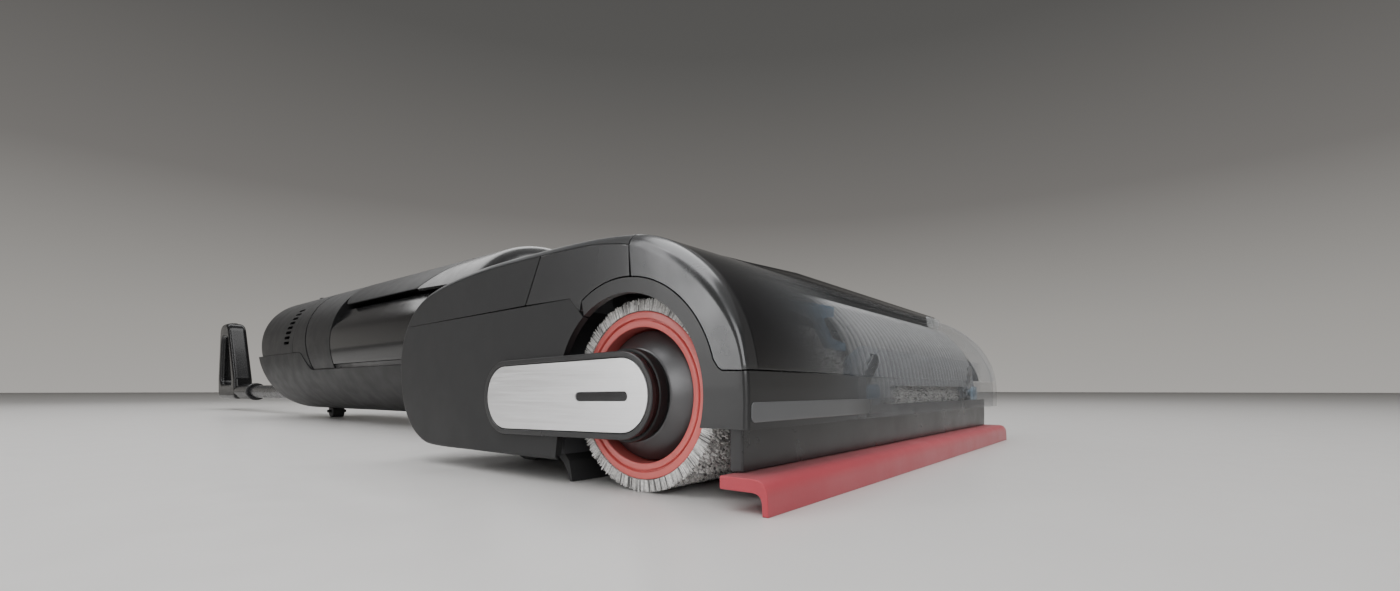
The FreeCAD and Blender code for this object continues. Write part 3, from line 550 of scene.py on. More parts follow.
def skin_vertex(t, column, raise_by=0.0):
    """column is an x, or (side, degrees round the edge)."""
    p, n = skin_point(t)
    if isinstance(column, tuple):
        r = edge_radius(t)
        a = math.radians(column[1])
        x = column[0] * (HALF - r + r * math.sin(a))
        q = p - n * r * (1 - math.cos(a))
        return (x, q[0], q[1])
    q = p + n * raise_by
    return (column, q[0], q[1])


def steps_between(t0, t1, extra=(), gap=2.0):
    count = max(2, int(abs(t1 - t0) / gap))
    values = [t0 + (t1 - t0) * i / count for i in range(count + 1)]
    return sorted(set(values) | set(extra))


def round_end(side, start=0, end=90, steps=9):
    degrees = [start + (end - start) * i / steps for i in range(steps + 1)]
    return [(side, d) for d in degrees]


def skin_piece(name, rows, columns, look, fills=(), skip=None, thickness=2.3, body="head"):
    """A patch of the head's skin. fills closes side faces: (column number, closing points)."""
    bm = bmesh.new()
    grid = [add_loop(bm, [skin_vertex(t, c) for c in columns]) for t in rows]
    for i in range(len(rows) - 1):
        for j in range(len(columns) - 1):
            if skip and skip(rows[i], columns[j], columns[j + 1]):
                continue
            bm.faces.new((grid[i][j], grid[i + 1][j], grid[i + 1][j + 1], grid[i][j + 1]))
    loose = [v for v in bm.verts if not v.link_faces]
    bmesh.ops.delete(bm, geom=loose, context="VERTS")
    for column, closing in fills:
        side = columns[column][0]
        border = [row[column] for row in grid]
        border += [bm.verts.new(place((side * HALF, y, z))) for y, z in closing]
        edges = []
        for a, b in zip(border, border[1:] + border[:1]):
            edges.append(bm.edges.get((a, b)) or bm.edges.new((a, b)))
        bmesh.ops.triangle_fill(bm, use_beauty=True, edges=edges)
    piece = piece_from_bmesh(name, bm, (0, 45, 40))
    thicken(piece, thickness)
    return finish_piece(piece, look, body)


def side_plate(name, side, rows, closing, look, start=84):
    """A flat side face whose outer edge follows the skin's rounded edge."""
    return skin_piece(name, rows, round_end(side, start, 90, 2), look, [(2, closing)])


def both_ends(inner, start=90, steps=9):
    """Columns round the right edge, across and round the left edge."""
    return round_end(-1, start, 0, steps) + inner + round_end(1, 0, start, steps)


def build_top_cover():
    notch_y = 66.4
    notch_half = 38.0
    front_end = skin_at(y=-2.8)
    rows = steps_between(front_end, skin_at(z=SEAM_Z, back=True), [skin_at(y=66.5, back=True)])
    notch = skin_at(y=notch_y, back=True)

    def in_notch(t, a, b):
        flat = not isinstance(a, tuple) and not isinstance(b, tuple)
        return flat and t >= notch and abs(a + b) / 2 < notch_half

    columns = both_ends([-118.0, -80.0, -38.5, 0.0, 38.5, 80.0, 118.0], 82)
    skin_piece("head_top_cover.shell", rows, columns, "top_gloss", skip=in_notch)
    arch_seam = arc(0, ROLLER_Z, TOP_ARCH_R, 58.3, 94.5, 14)
    corner = [(45.4, SEAM_Z + HALF_SEAM), (22.9, SEAM_Z + HALF_SEAM), (18.6, 53.2)]
    for side, tag in SIDES:
        front_rows = steps_between(front_end, skin_at(y=37.4, back=True))
        side_plate("head_top_cover.front_" + tag, side, front_rows, corner + arch_seam, "upper_side")
        back_rows = steps_between(skin_at(y=37.9, back=True), skin_at(z=SEAM_Z + HALF_SEAM, back=True))
        side_plate("head_top_cover.back_" + tag, side, back_rows, [(46.0, SEAM_Z + HALF_SEAM)], "panel")


def build_side_panels():
    rows = steps_between(skin_at(z=SEAM_Z - HALF_SEAM, back=True), len(SKIN) - 1.0)
    low_z = skin_vertex(rows[-1], (-1, 90))[2]
    underside = skin_at(y=104.0, back=True)
    top_corner = [(22.8, SEAM_Z - HALF_SEAM)]

    def below(t, a, b):
        return t >= underside and not (isinstance(a, tuple) and isinstance(b, tuple))

    arm_pocket = arc(56, 27, 12.7, -88, 88, 24)
    right_arch = arc(0, ROLLER_Z, ARCH_R, 24.5, 54, 14)
    right_close = [(29.0, 15.6)] + arm_pocket + right_arch + top_corner
    skin_piece("side_panel_right.shell", rows, round_end(-1, 90, 0) + [-110.0, -75.0, -38.5], "panel",
               [(0, right_close)], skip=below)
    left_arch = arc(0, ROLLER_Z, 32.8, 168, 57, 30)[:-1]
    left_close = [(-27.4, low_z), (-27.4, 34.8)] + left_arch + top_corner
    skin_piece("side_panel_left.shell", rows, [38.5, 75.0, 110.0] + round_end(1, 0, 90), "panel",
               [(12, left_close)], skip=below)


def build_front_skin():
    frame_rows = steps_between(skin_at(z=VISOR_LOW), skin_at(y=-3.2))
    frame_close = arc(0, ROLLER_Z, TOP_ARCH_R, 96, 164, 24) + [(-33.4, 35.2), (-34.6, VISOR_LOW)]
    for (side, tag), look in zip(SIDES, ("frame_grey", "end_clear")):
        name = "end_frame_" + tag
        skin_piece(name + ".shell", frame_rows, [side * 129.3] + round_end(side, 0, 90), look,
                   [(10, frame_close)])
    visor_rows = steps_between(skin_at(z=VISOR_LOW), skin_at(y=-9.2), gap=1.0)
    skin_piece("visor.shell", visor_rows, [-129.1, -80.0, -40.0, 0.0, 40.0, 80.0, 129.1], "visor",
               body="visor")
    band_rows = steps_between(skin_at(z=BAND_LOW), skin_at(z=BAND_TOP))
    lip = [(-27.6, BAND_LOW)] + arc(0, ROLLER_Z, ARCH_R, 196, 55, 60) + arc(0, ROLLER_Z, LIP_R, 58, 164, 44)
    lip += [(-33.2, 34.9), (-34.4, BAND_TOP)]
    lip.reverse()
    columns = both_ends([-120.0, -60.0, 0.0, 60.0, 120.0], 90, 5)
    left_close = [(-28.2, BAND_TOP), (-28.2, BAND_LOW)]
    skin_piece("front_band.shell", band_rows, columns, "band",
               [(0, lip), (len(columns) - 1, left_close)])


SIDES = ((-1, "right"), (1, "left"))
build_top_cover()
build_side_panels()
build_front_skin()


# ---------------------------------------------------------------- more mesh helpers

def stadium(y0, z0, y1, z1, r, r1=None, steps=20):
    """An outline with round ends about two points."""
    r1 = r if r1 is None else r1
    a = math.degrees(math.atan2(z1 - z0, y1 - y0))
    return arc(y0, z0, r, a + 90, a + 270, steps) + arc(y1, z1, r1, a - 90, a + 90, steps)


def cutter_from(bm, loops):
    for loop in loops:
        bm.faces.new(loop)
    bridge(bm, loops)
    bmesh.ops.recalc_face_normals(bm, faces=bm.faces)
    return new_object("cutter", mesh_from_bmesh("cutter", bm))


def prism(loop, axis, low, high):
    """A plain closed prism, used as a cutter. Axis "Y" takes (x, z) points and "Z" takes (x, y)."""
    bm = bmesh.new()
    loops = []
    for level in (low, high):
        points = [(x, level, other) if axis == "Y" else (x, other, level) for x, other in loop]
        loops.append(add_loop(bm, points))
    return cutter_from(bm, loops)


def carve(piece, cutters):
    for cutter in cutters:
        cutting = piece.modifiers.new("cut", "BOOLEAN")
        cutting.operation = "DIFFERENCE"
        cutting.solver = "EXACT"
        cutting.object = cutter
    settle(piece)
    for cutter in cutters:
        bpy.data.objects.remove(cutter)


def slab_y(name, loops, y0, y1, bevel, look, body, segments=2):
    """As slab_x, for outlines in X and Z run along Y."""
    piece = slab_x(name, loops, y0, y1, bevel, look, body, segments)
    mesh = piece.data
    middle = (y0 + y1) / 2 * MM
    for v in mesh.vertices:
        across, along, up = v.co.x - middle, v.co.y - AXIS_Y, v.co.z
        v.co = (along, AXIS_Y + middle + across, up)
    mesh.flip_normals()
    return piece


# ---------------------------------------------------------------- roller, its end and its arm

ROLLER_END = -127.5
PILE_LEFT_END = 118.3
PILE_BED_R = 27.0
PILE_BACK_R = 24.5
TUFT_FACES = ((0, 1, 4, 3), (1, 2, 5, 4), (2, 0, 3, 5), (3, 4, 5), (0, 2, 1))


def tuft_points(rng, x, a, root, tip, width, lean):
    """Three points at the root and three at the tip, closer together and leaning a little."""
    tip_x = x + rng.uniform(-lean, lean)
    tip_a = a + rng.uniform(-lean, lean) / tip
    points = []
    for r, w, cx, ca in ((root, width, x, a), (tip, width * 0.55, tip_x, tip_a)):
        for k in range(3):
            q = 2 * math.pi * k / 3 + a * 7
            turn = ca + w * math.cos(q) / r
            points.append((cx + w * math.sin(q), r * math.cos(turn), ROLLER_Z + r * math.sin(turn)))
    return points


def tuft_tone(rng):
    """Mostly white tufts, some grey and a few dark."""
    pick = rng.random()
    if pick < 0.70:
        return rng.uniform(0.7, 1.0)
    return rng.uniform(0.35, 0.6) if pick < 0.93 else 0.12


def add_pile_bed(verts, faces, tones, x0, x1, sides=96):
    """The closed layer that the tufts stand on."""
    start = len(verts)
    section = [(x0 + 0.5, PILE_BACK_R), (x0 + 0.4, PILE_BED_R), (x1, PILE_BED_R), (x1, PILE_BACK_R)]
    for x, r in section:
        for k in range(sides):
            a = 2 * math.pi * k / sides
            verts.append(place((x, r * math.cos(a), ROLLER_Z + r * math.sin(a))))
    for ring in range(len(section)):
        a = start + ring * sides
        b = start + (ring + 1) % len(section) * sides
        for k in range(sides):
            j = (k + 1) % sides
            faces.append((a + k, a + j, b + j, b + k))
            tones.append(0.45)


def pile_piece(name, x0, x1, end_rows, rng):
    """Short dense bristles on a bed, one small tapered tuft for each clump. end_rows fringe x0."""
    verts, faces, tones = [], [], []

    def tuft(*shape):
        start = len(verts)
        verts.extend(place(point) for point in tuft_points(rng, *shape))
        faces.extend([start + k for k in face] for face in TUFT_FACES)
        tones.extend([tuft_tone(rng)] * len(TUFT_FACES))

    fringe_count = 360
    for row, inset in enumerate(end_rows):
        for i in range(fringe_count):
            a = 2 * math.pi * (i + 0.5 * (row % 2) + rng.uniform(-0.3, 0.3)) / fringe_count
            tuft(x0 + inset, a, PILE_BACK_R, 27.8 + rng.uniform(-0.45, 0.3), 0.24, 0.3)
    step = 1.0
    first = x0 + 2.2
    count = int(2 * math.pi * 26 / step)
    for i in range(int((x1 - first) / step) + 1):
        for k in range(count):
            a = 2 * math.pi * (k + 0.5 * (i % 2) + rng.uniform(-0.35, 0.35)) / count
            x = first + i * step + rng.uniform(-0.35, 0.35)
            tuft(x, a, 26.4, 27.85 + rng.uniform(-0.3, 0.1), 0.52, 0.4)
    add_pile_bed(verts, faces, tones, x0, x1)
    mesh = bpy.data.meshes.new(name)
    mesh.from_pydata(verts, [], faces)
    mesh.attributes.new("tone", "FLOAT", "FACE").data.foreach_set("value", tones)
    piece = new_object(name, mesh)
    piece.data.materials.append(MAT["pile"])
    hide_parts("roller_pile")
    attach(piece, "roller")


def build_pile():
    """Two halves, which overlap a little at the middle, from one stream of random draws."""
    rng = random.Random(11)
    pile_piece("roller_pile.bristles_right", ROLLER_END, -4.6, (0.05, 0.35, 0.7, 1.1, 1.6), rng)
    pile_piece("roller_pile.bristles_left", -5.6, PILE_LEFT_END, (), rng)


def build_roller_end():
    """The red end ring, with a groove in its face, and the black cone inside it."""
    x = ROLLER_END
    ring = [(x + 9, 24.3), (x + 0.8, 24.4), (x + 0.25, 24.25), (x, 23.8), (x, 22.35), (x + 0.2, 22.2),
            (x + 0.9, 22.1), (x + 0.9, 21.75), (x + 0.3, 21.65), (x + 0.1, 21.45), (x + 0.1, 20.2),
            (x + 0.3, 19.8), (x + 0.9, 19.6), (x + 9, 19.5)]
    turned("roller_ring.turned", "X", ring, 0, ROLLER_Z, "red_plastic", "roller", 160)
    cone = [(-129.3, 4.1), (-129.3, 13.2), (-129.1, 13.6), (-128.6, 14.0), (-126.4, 16.2), (-124.4, 18.2),
            (-124.0, 18.75), (-123.2, 19.0), (-112, 19.0), (-112, 4.1)]
    turned("hub_cone.turned", "X", cone, 0, ROLLER_Z, "cone", "roller", 160, angle=24.0)


ARM = (-0.6, 28.0, 55.4, 27.0)
ARM_R = 12.4
ARM_SLOT = (-2.0, 27.75, 17.4, 27.5)


def build_arm():
    """The arm's black bar with a raised rim, and inside the rim the brushed plate with its dark slot."""
    outline = stadium(*ARM, ARM_R)
    slab_x("roller_arm.bar", [outline], -135.4, -131.2, 0.5, "gloss_black", "arm")
    slab_x("roller_arm.rim", [outline, stadium(*ARM, ARM_R - 1.7)], -136.15, -134.4, 0.35, "satin_black",
           "arm")
    boss = [(-133.4, 3.0), (-133.4, 12.9), (-133.1, 13.25), (-132.4, 13.4), (-130.5, 13.4), (-130.1, 13.2),
            (-129.9, 12.8), (-129.9, 3.0)]
    turned("roller_arm.boss", "X", boss, 0, ROLLER_Z, "shell", "arm", 160)
    axle = [(-131.0, 3.99), (-116.8, 3.99), (-116.0, 3.3)]
    turned("roller_arm.axle", "X", axle, 0, ROLLER_Z, "pin_steel", "arm", 64, "flat")
    slab_x("arm_plate.face", [stadium(*ARM, ARM_R - 1.95), stadium(*ARM_SLOT, 1.35)], -136.0, -135.1, 0.16,
           "plate", "arm")
    slab_x("arm_slot_insert.fill", [stadium(*ARM_SLOT, 1.3)], -135.62, -135.2, 0.05, "trim", "arm")


build_pile()
build_roller_end()
build_arm()


# ---------------------------------------------------------------- squeegee, its lift and the inner hood

PINS = (("a", -42.0), ("b", 106.0))
PIN_Z = 28.0
CARRIER_FRONT = -36.4
CARRIER_LOW = 8.9


def build_squeegee():
    """The red blade with its rounded nose, its carrier, and the two lugs with the pins that lift it."""
    outline = [(-33.4, 8.6), (-47.0, 8.6), (-47.3, 0.0), (-45.7, 0.0), (-45.4, 5.3), (-33.4, 5.3)]
    loop = rounded(outline, [0.5, 5.2, 0.12, 0.12, 3.6, 0.5], 8)
    slab_x("squeegee_blade.strip", [loop], -134, 134, 0.22, "red_rubber", "squeegee")
    plate = rounded([(CARRIER_FRONT, CARRIER_LOW), (-34.8, CARRIER_LOW), (-34.8, 24.0),
                     (CARRIER_FRONT, 24.0)], 0.3)
    slab_x("squeegee_carrier.plate", [plate], -128, 128, 0.25, "satin_black", "squeegee")
    thick = rounded([(-36.1, CARRIER_LOW), (-32.4, CARRIER_LOW), (-32.4, 23.9), (-36.1, 23.9)], 0.5)
    slab_x("squeegee_carrier.end", [thick], -128.2, -80, 0.35, "end_face", "squeegee")
    for tag, x in PINS:
        lug = rounded([(x - 5, 21.0), (x + 5, 21.0), (x + 5, 31.5), (x - 5, 31.5)], 3.0)
        slab_y("squeegee_carrier.lug_" + tag, [lug], -36.3, -34.9, 0.2, "clear_blue", "squeegee")
        turned("squeegee_carrier.pin_" + tag, "Y", [(-36.5, 1.9), (-32.9, 1.9), (-32.5, 1.5)], x, PIN_Z,
               "clear_blue", "squeegee", 40, "flat")


HOOD_LINE = [(-31.0, 25.0), (-31.0, 30.6), (-30.3, 35.3), (-29.0, 42.0), (-25.5, 51.0), (-19.0, 59.2),
             (-12.6, 64.8), (-4.0, 68.2), (6.0, 69.2)]
HOOD_X = (-48.0, 125.0)
RIB_PITCH = 5.0
RIB_HEIGHT = 0.7
SLOT_TOP = (15.6, 40.9)


def hood_slot(pin_x, r):
    """The slanted slot through which the squeegee's pin is seen."""
    return stadium(pin_x - 0.3, 27.8, pin_x + SLOT_TOP[0], SLOT_TOP[1], r)


def build_hood():
    """The ribbed inner hood: its ribs fade in from the right end, and two slots and a notch are cut in it."""
    line = smooth_line(HOOD_LINE, 6)
    out = outward(line)
    x0, x1 = HOOD_X
    step = RIB_PITCH / 8
    bm = bmesh.new()
    rows = []
    for i in range(int((x1 - x0) / step) + 1):
        x = x0 + step * i
        fade = min(1.0, max(0.0, (x - x0 - 3.0) / 14.0))
        rib = RIB_HEIGHT * fade * math.cos(2 * math.pi * x / RIB_PITCH)
        rows.append(add_loop(bm, [(x, *(p + n * rib)) for p, n in zip(line, out)]))
    sheet(bm, rows)
    piece = piece_from_bmesh("roller_hood.ribbed", bm, (40, 0, 28))
    thicken(piece, 1.0, 0)
    notch = rounded([(-14.0, 20.0), (101.0, 20.0), (101.0, 31.3), (-14.0, 31.3)], 2.5)
    corner = [(-49.0, 23.0), (-38.0, 23.0)] + arc(-38.0, 35.0, 10.0, 270, 180, 12) + [(-49.0, 35.0)]
    slots = [hood_slot(x, 3.0) for tag, x in PINS]
    carve(piece, [prism(loop, "Y", -40, -20) for loop in (notch, corner, *slots)])
    finish_piece(piece, "hood", "head")


def build_bracket():
    """The bluish bracket at the hood's right edge and the dark links that fill its slots."""
    arm = rounded([(-94.0, 57.6), (-58.0, 59.0), (-58.0, 55.4), (-66.0, 54.0), (-59.0, 47.6), (-48.0, 46.6),
                   (-48.0, 43.6), (-61.0, 44.4), (-71.0, 53.6), (-94.0, 56.0)], 0.5, 3)
    slab_y("roller_hood.bracket", [arm], -27.6, -25.0, 0.2, "clear_blue", "head")
    for tag, x in PINS:
        link = stadium(x + 2.6, 30.6, x + SLOT_TOP[0], SLOT_TOP[1], 2.8)
        slab_y("roller_hood.link_" + tag, [link], -30.6, -29.5, 0.15, "gloss_black", "head")


def build_cam():
    """The slider whose slanted slots lift the squeegee's pins."""
    plate = rounded([(-62.0, 25.0), (-14.0, 25.0), (-14.0, 31.6), (84.0, 31.6), (84.0, 25.0), (127.0, 25.0),
                     (127.0, 45.5), (-48.0, 45.5), (-62.0, 40.0)], [3, 4, 3, 3, 4, 3, 3, 5, 5])
    slots = [stadium(x - 0.4, 27.4, x + 9.1, 42.0, 2.15) for tag, x in PINS]
    slab_y("cam_slider.plate", [plate, *slots], -34.4, -32.8, 0.2, "cam_clear", "cam")


build_squeegee()
build_hood()
build_bracket()
build_cam()


RAIL_SECTION = ((0.0, 0.55), (0.12, 0.9), (0.3, 1.0), (0.7, 1.0), (0.88, 0.9), (1.0, 0.55))
RAIL_ROOT = -1.2


def skin_rail(name, y_front, y_back, height, x0, x1, taper, look):
    """A raised strip that follows the head's skin along X and rises from flush over its first stretch."""
    t0, t1 = skin_at(y=y_front), skin_at(y=y_back)
    bm = bmesh.new()
    loops = []
    for x in [x0, x0 + taper * 0.3, x0 + taper * 0.6, x0 + taper, *range(int(x0 + taper) + 12, int(x1), 12),
              x1]:
        rise = height * min(1.0, max(0.08, (x - x0) / taper))
        section = [(0.0, RAIL_ROOT)] + [(k, rise * share) for k, share in RAIL_SECTION] + [(1.0, RAIL_ROOT)]
        loops.append(add_loop(bm, [skin_vertex(t0 + (t1 - t0) * k, x, lift) for k, lift in section]))
    bridge(bm, loops, "flat")
    finish_piece(piece_from_bmesh(name, bm), look, "head", angle=40)


def build_trim():
    """The dark strip with two raised rails behind the visor, the visor's tab and the blank tag strip."""
    rows = steps_between(skin_at(y=-8.9), skin_at(y=-3.1), gap=1.0)
    skin_piece("visor_trim.base", rows, [-126.0, -80.0, -40.0, 0.0, 40.0, 80.0, 126.0], "trim_base",
               thickness=1.6)
    skin_rail("visor_trim.front_rail", -8.6, -5.9, 2.3, -100, 124, 50, "trim")
    skin_rail("visor_trim.back_rail", -5.0, -3.6, 1.7, -120, 125, 60, "trim_light")
    tab = rounded([(96.0, 66.4), (116.0, 66.4), (119.0, 72.0), (93.0, 72.0)], 1.5)
    slab_y("visor.tab", [tab], -13.6, -12.9, 0.15, "clear_tab", "visor")
    tag = rounded([(-133.0, 21.7), (-36.0, 21.7), (-36.0, 26.6), (-133.0, 26.6)], 1.6)
    slab_y("tag_strip.plate", [tag], -42.3, -41.7, 0.12, "tag_fade", "head")


build_trim()


# ---------------------------------------------------------------- the upright body

BODY_Z = 70.0
BODY_R = 59.5
BODY_TOP = BODY_Z + BODY_R
DOME_FRONT = 185.0
DOME_ROUND = 40.0
DOME_SEAM_TOP = 255.0
DOME_SEAM_LOW = 300.0
TANK_FRONT = 242.0
TANK_REAR = 436.0
HUMP_Z = 102.0
HUMP_ROUND = 20.0
SHELL_TOP = 47.7
REAR_SHELL_TOP = 64.6
CAP_Y = 528.0
HOSE_Z = 62.5
ROD_Z = 27.3


def smoothstep(k):
    k = min(1.0, max(0.0, k))
    return k * k * (3 - 2 * k)


def ring_line(z):
    """Y' of the slanted seam between the clean tank and the motor housing, at the height z."""
    return 485.0 + (z - SHELL_TOP) * 25.0 / 81.8


def step_line(y):
    """Height of the lower shell's upper edge: low beside the tanks, high beside the rear cap."""
    return SHELL_TOP + (REAR_SHELL_TOP - SHELL_TOP) * smoothstep((y - 486.0) / 24.0)


def dome_back(z):
    """Y' of the dome's rear edge: upright beside the tank, slanted where the hump meets it."""
    slanted = DOME_SEAM_TOP + (BODY_TOP - z) / 27.5 * (DOME_SEAM_LOW - DOME_SEAM_TOP)
    upright = TANK_FRONT - 0.4
    return upright + (slanted - upright) * smoothstep((z - 100.5) / 1.6)


def hump_back(z):
    """Y' of the hump's rounded rear end."""
    k = max(0.0, HUMP_ROUND - (z - HUMP_Z))
    return TANK_REAR + 3.0 - (HUMP_ROUND - math.sqrt(max(0.0, HUMP_ROUND ** 2 - k * k)))


def degrees_at(z, r=BODY_R):
    return math.degrees(math.asin(min(1.0, max(-1.0, (z - BODY_Z) / r))))


def body_vertex(a, y, r):
    c, s = math.cos(math.radians(a)), math.sin(math.radians(a))
    return (-r * c, y, BODY_Z + r * s)


def body_loft(name, front, back, low, inset, look, body, rows=10, bevel=0.5, carvers=()):
    """A closed piece of the body: its round outer side down to the height low(y), then a flat underside."""
    columns = 80
    bm = bmesh.new()
    loops = []
    for i in range(rows + 1):
        u = i / rows
        y_low = front(SHELL_TOP) + (back(SHELL_TOP) - front(SHELL_TOP)) * u
        a0 = degrees_at(low(y_low))
        loop = []
        for j in range(columns + 1):
            a = a0 + (180 - 2 * a0) * j / columns
            z = BODY_Z + BODY_R * math.sin(math.radians(a))
            y = front(z) + (back(z) - front(z)) * u
            loop.append(body_vertex(a, y, BODY_R - inset))
        loops.append(add_loop(bm, loop))
    bridge(bm, loops, "flat")
    piece = piece_from_bmesh(name, bm)
    if carvers:
        carve(piece, carvers)
    soften(piece, bevel)
    return finish_piece(piece, look, body)


def body_skin(name, profile, edge, upper, look, lean, round_side=1.0, carvers=()):
    """A turned shell with the profile (y, radius), kept above or below the height edge(y).

    lean(z, y) is how far a point moves forward, and round_side below 1 squares the section's corners."""
    columns = 96
    thickness = 2.4
    bm = bmesh.new()
    rows = []
    for y, r in profile:
        split = degrees_at(edge(y), max(r, 0.01))
        end = 180 - split if upper else -180 - split
        row = []
        for j in range(columns + 1):
            a = split + (end - split) * j / columns
            x, yy, z = body_vertex(a, y, r)
            if round_side != 1.0:
                x = math.copysign(r * abs(math.cos(math.radians(a))) ** round_side, x)
            row.append((x, yy - lean(z, y), z))
        rows.append(add_loop(bm, row))
    sheet(bm, rows)
    bmesh.ops.remove_doubles(bm, verts=bm.verts, dist=1e-5)
    bmesh.ops.dissolve_degenerate(bm, edges=bm.edges, dist=1e-6)
    piece = piece_from_bmesh(name, bm, (0, profile[0][0] + 20, BODY_Z + (10 if upper else -10)))
    thicken(piece, thickness, 0.4)
    carve(piece, carvers)
    return finish_piece(piece, look, "body")


def rounded_end(y_flat, y_end, r, corner_y, corner_r, steps=10, centre=0.0):
    """Profile along the side, round the corner and in across the end face."""
    points = [(y_flat, r)]
    for k in range(steps + 1):
        t = math.pi / 2 * k / steps
        points.append((y_end - corner_y + corner_y * math.sin(t), r - corner_r + corner_r * math.cos(t)))
    inner = r - corner_r
    points += [(y_end, inner + (centre - inner) * k / 6) for k in range(1, 7)]
    return points


def stretch(profile, first, gap=8.0):
    """Adds rows from first to the profile's start, so that a long side bends where its edge does."""
    y, r = profile[0]
    count = max(1, int((y - first) / gap))
    return [(first + (y - first) * i / count, r) for i in range(count)] + profile


def circle_loop(x, y, r, steps=48):
    turns = [2 * math.pi * i / steps for i in range(steps)]
    return [(x + r * math.cos(a), y + r * math.sin(a)) for a in turns]


VENT_COUNT = 8
VENT_FIRST = 5.0
VENT_SPAN = 35.0


def vent_cutters():
    """Eight slots up each side of the rear cap, each cut along its own radius."""
    loop = stadium(540.6, 0.0, 552.4, 0.0, 1.45, steps=6)
    cutters = []
    for side in (1, -1):
        for i in range(VENT_COUNT):
            a = math.radians(VENT_FIRST + VENT_SPAN / (VENT_COUNT - 1) * i)
            up_skin = Vector((side * -math.sin(a), 0, math.cos(a)))
            outwards = Vector((side * math.cos(a), 0, math.sin(a)))
            bm = bmesh.new()
            ends = []
            for depth in (50.0, 64.0):
                points = [Vector((0, y, BODY_Z)) + up_skin * up + outwards * depth for y, up in loop]
                ends.append(add_loop(bm, points))
            cutters.append(cutter_from(bm, ends))
    return cutters


def build_dome():
    """The lower shell's round front, with a flat nose, a gap for the swivel lug and a hole for the hose."""
    flat = 19.5
    rows = [(DOME_FRONT, flat * k / 4) for k in range(5)]
    for k in range(1, 15):
        t = math.pi / 2 * k / 14
        rows.append((DOME_FRONT + DOME_ROUND - DOME_ROUND * math.cos(t), flat + DOME_ROUND * math.sin(t)))
    side_steps = 4
    columns = 144
    bm = bmesh.new()
    loops = []
    for y, r in rows:
        loops.append(add_loop(bm, [body_vertex(360.0 * j / columns, y, r) for j in range(columns)]))
    front = DOME_FRONT + DOME_ROUND
    for step in range(1, side_steps + 1):
        loop = []
        for j in range(columns):
            a = 360.0 * j / columns
            z = BODY_Z + BODY_R * math.sin(math.radians(a))
            loop.append(body_vertex(a, front + (dome_back(z) - front) * step / side_steps, BODY_R))
        loops.append(add_loop(bm, loop))
    bridge(bm, loops)
    dome = piece_from_bmesh("lower_shell.dome", bm, (0, 230, 70))
    bm = bmesh.new()
    bm.from_mesh(dome.data)
    bmesh.ops.dissolve_degenerate(bm, edges=bm.edges, dist=1e-6)
    bm.to_mesh(dome.data)
    bm.free()
    thicken(dome, 2.4, 0.5)
    lug_gap = rounded([(-10.4, 26.2), (10.4, 26.2), (10.4, 43.8), (-10.4, 43.8)], 2.0)
    carve(dome, [prism(lug_gap, "Y", 170, 205), prism(circle_loop(0, HOSE_Z, 11.2), "Y", 170, 200)])
    finish_piece(dome, "gloss_black", "body")


def tank_radius(a):
    """The dirty tank's side steps inwards above its lowest stretch."""
    lift = min(a, 180 - a)
    return BODY_R - 0.3 - 4.2 * smoothstep((lift - 8.0) / 22.0)


def build_dirty_tank():
    body_loft("hump_cover.shell", lambda z: dome_back(max(z, HUMP_Z + 0.4)) + 0.5, hump_back,
              lambda y: HUMP_Z + 0.2, 0.0, "hump", "dirty_tank", rows=24, bevel=0.8)
    low, top = degrees_at(SHELL_TOP + 4.0), degrees_at(HUMP_Z - 0.6)
    turns = [low + (top - low) * j / 28 for j in range(29)]
    turns += [180 - a for a in reversed(turns)]
    bm = bmesh.new()
    loops = []
    for i in range(9):
        y = TANK_FRONT + 0.4 + (TANK_REAR - TANK_FRONT - 0.8) * i / 8
        loops.append(add_loop(bm, [body_vertex(a, y, tank_radius(a)) for a in turns]))
    bridge(bm, loops, "flat")
    tank = piece_from_bmesh("dirty_water_tank.shell", bm)
    carve(tank, [prism(circle_loop(0, HOSE_Z, 8.6), "Y", 236, 300)])
    soften(tank, 0.5)
    finish_piece(tank, "tank", "dirty_tank", ("dirty_water_tank", "tank_inlet"))
    foot = [(-54.6, SHELL_TOP + 0.5), (54.6, SHELL_TOP + 0.5), (55.2, SHELL_TOP + 3.8),
            (-55.2, SHELL_TOP + 3.8)]
    slab_y("dirty_water_tank.foot", [foot], TANK_FRONT + 0.6, TANK_REAR - 0.6, 0.3, "satin_black",
           "dirty_tank")


def build_clean_tank():
    body_loft("clean_water_tank.shell", lambda z: TANK_REAR + 0.5, lambda z: ring_line(z) - 0.4,
              lambda y: SHELL_TOP + 0.5, 0.1, "housing", "clean_tank", rows=6)
    cap = [(BODY_TOP - 4.0, 11.0), (BODY_TOP + 0.2, 11.0), (BODY_TOP + 0.6, 10.5)]
    turned("clean_water_tank.cap", "Z", cap, 0, 470, "satin_black", "clean_tank", 64, "flat")


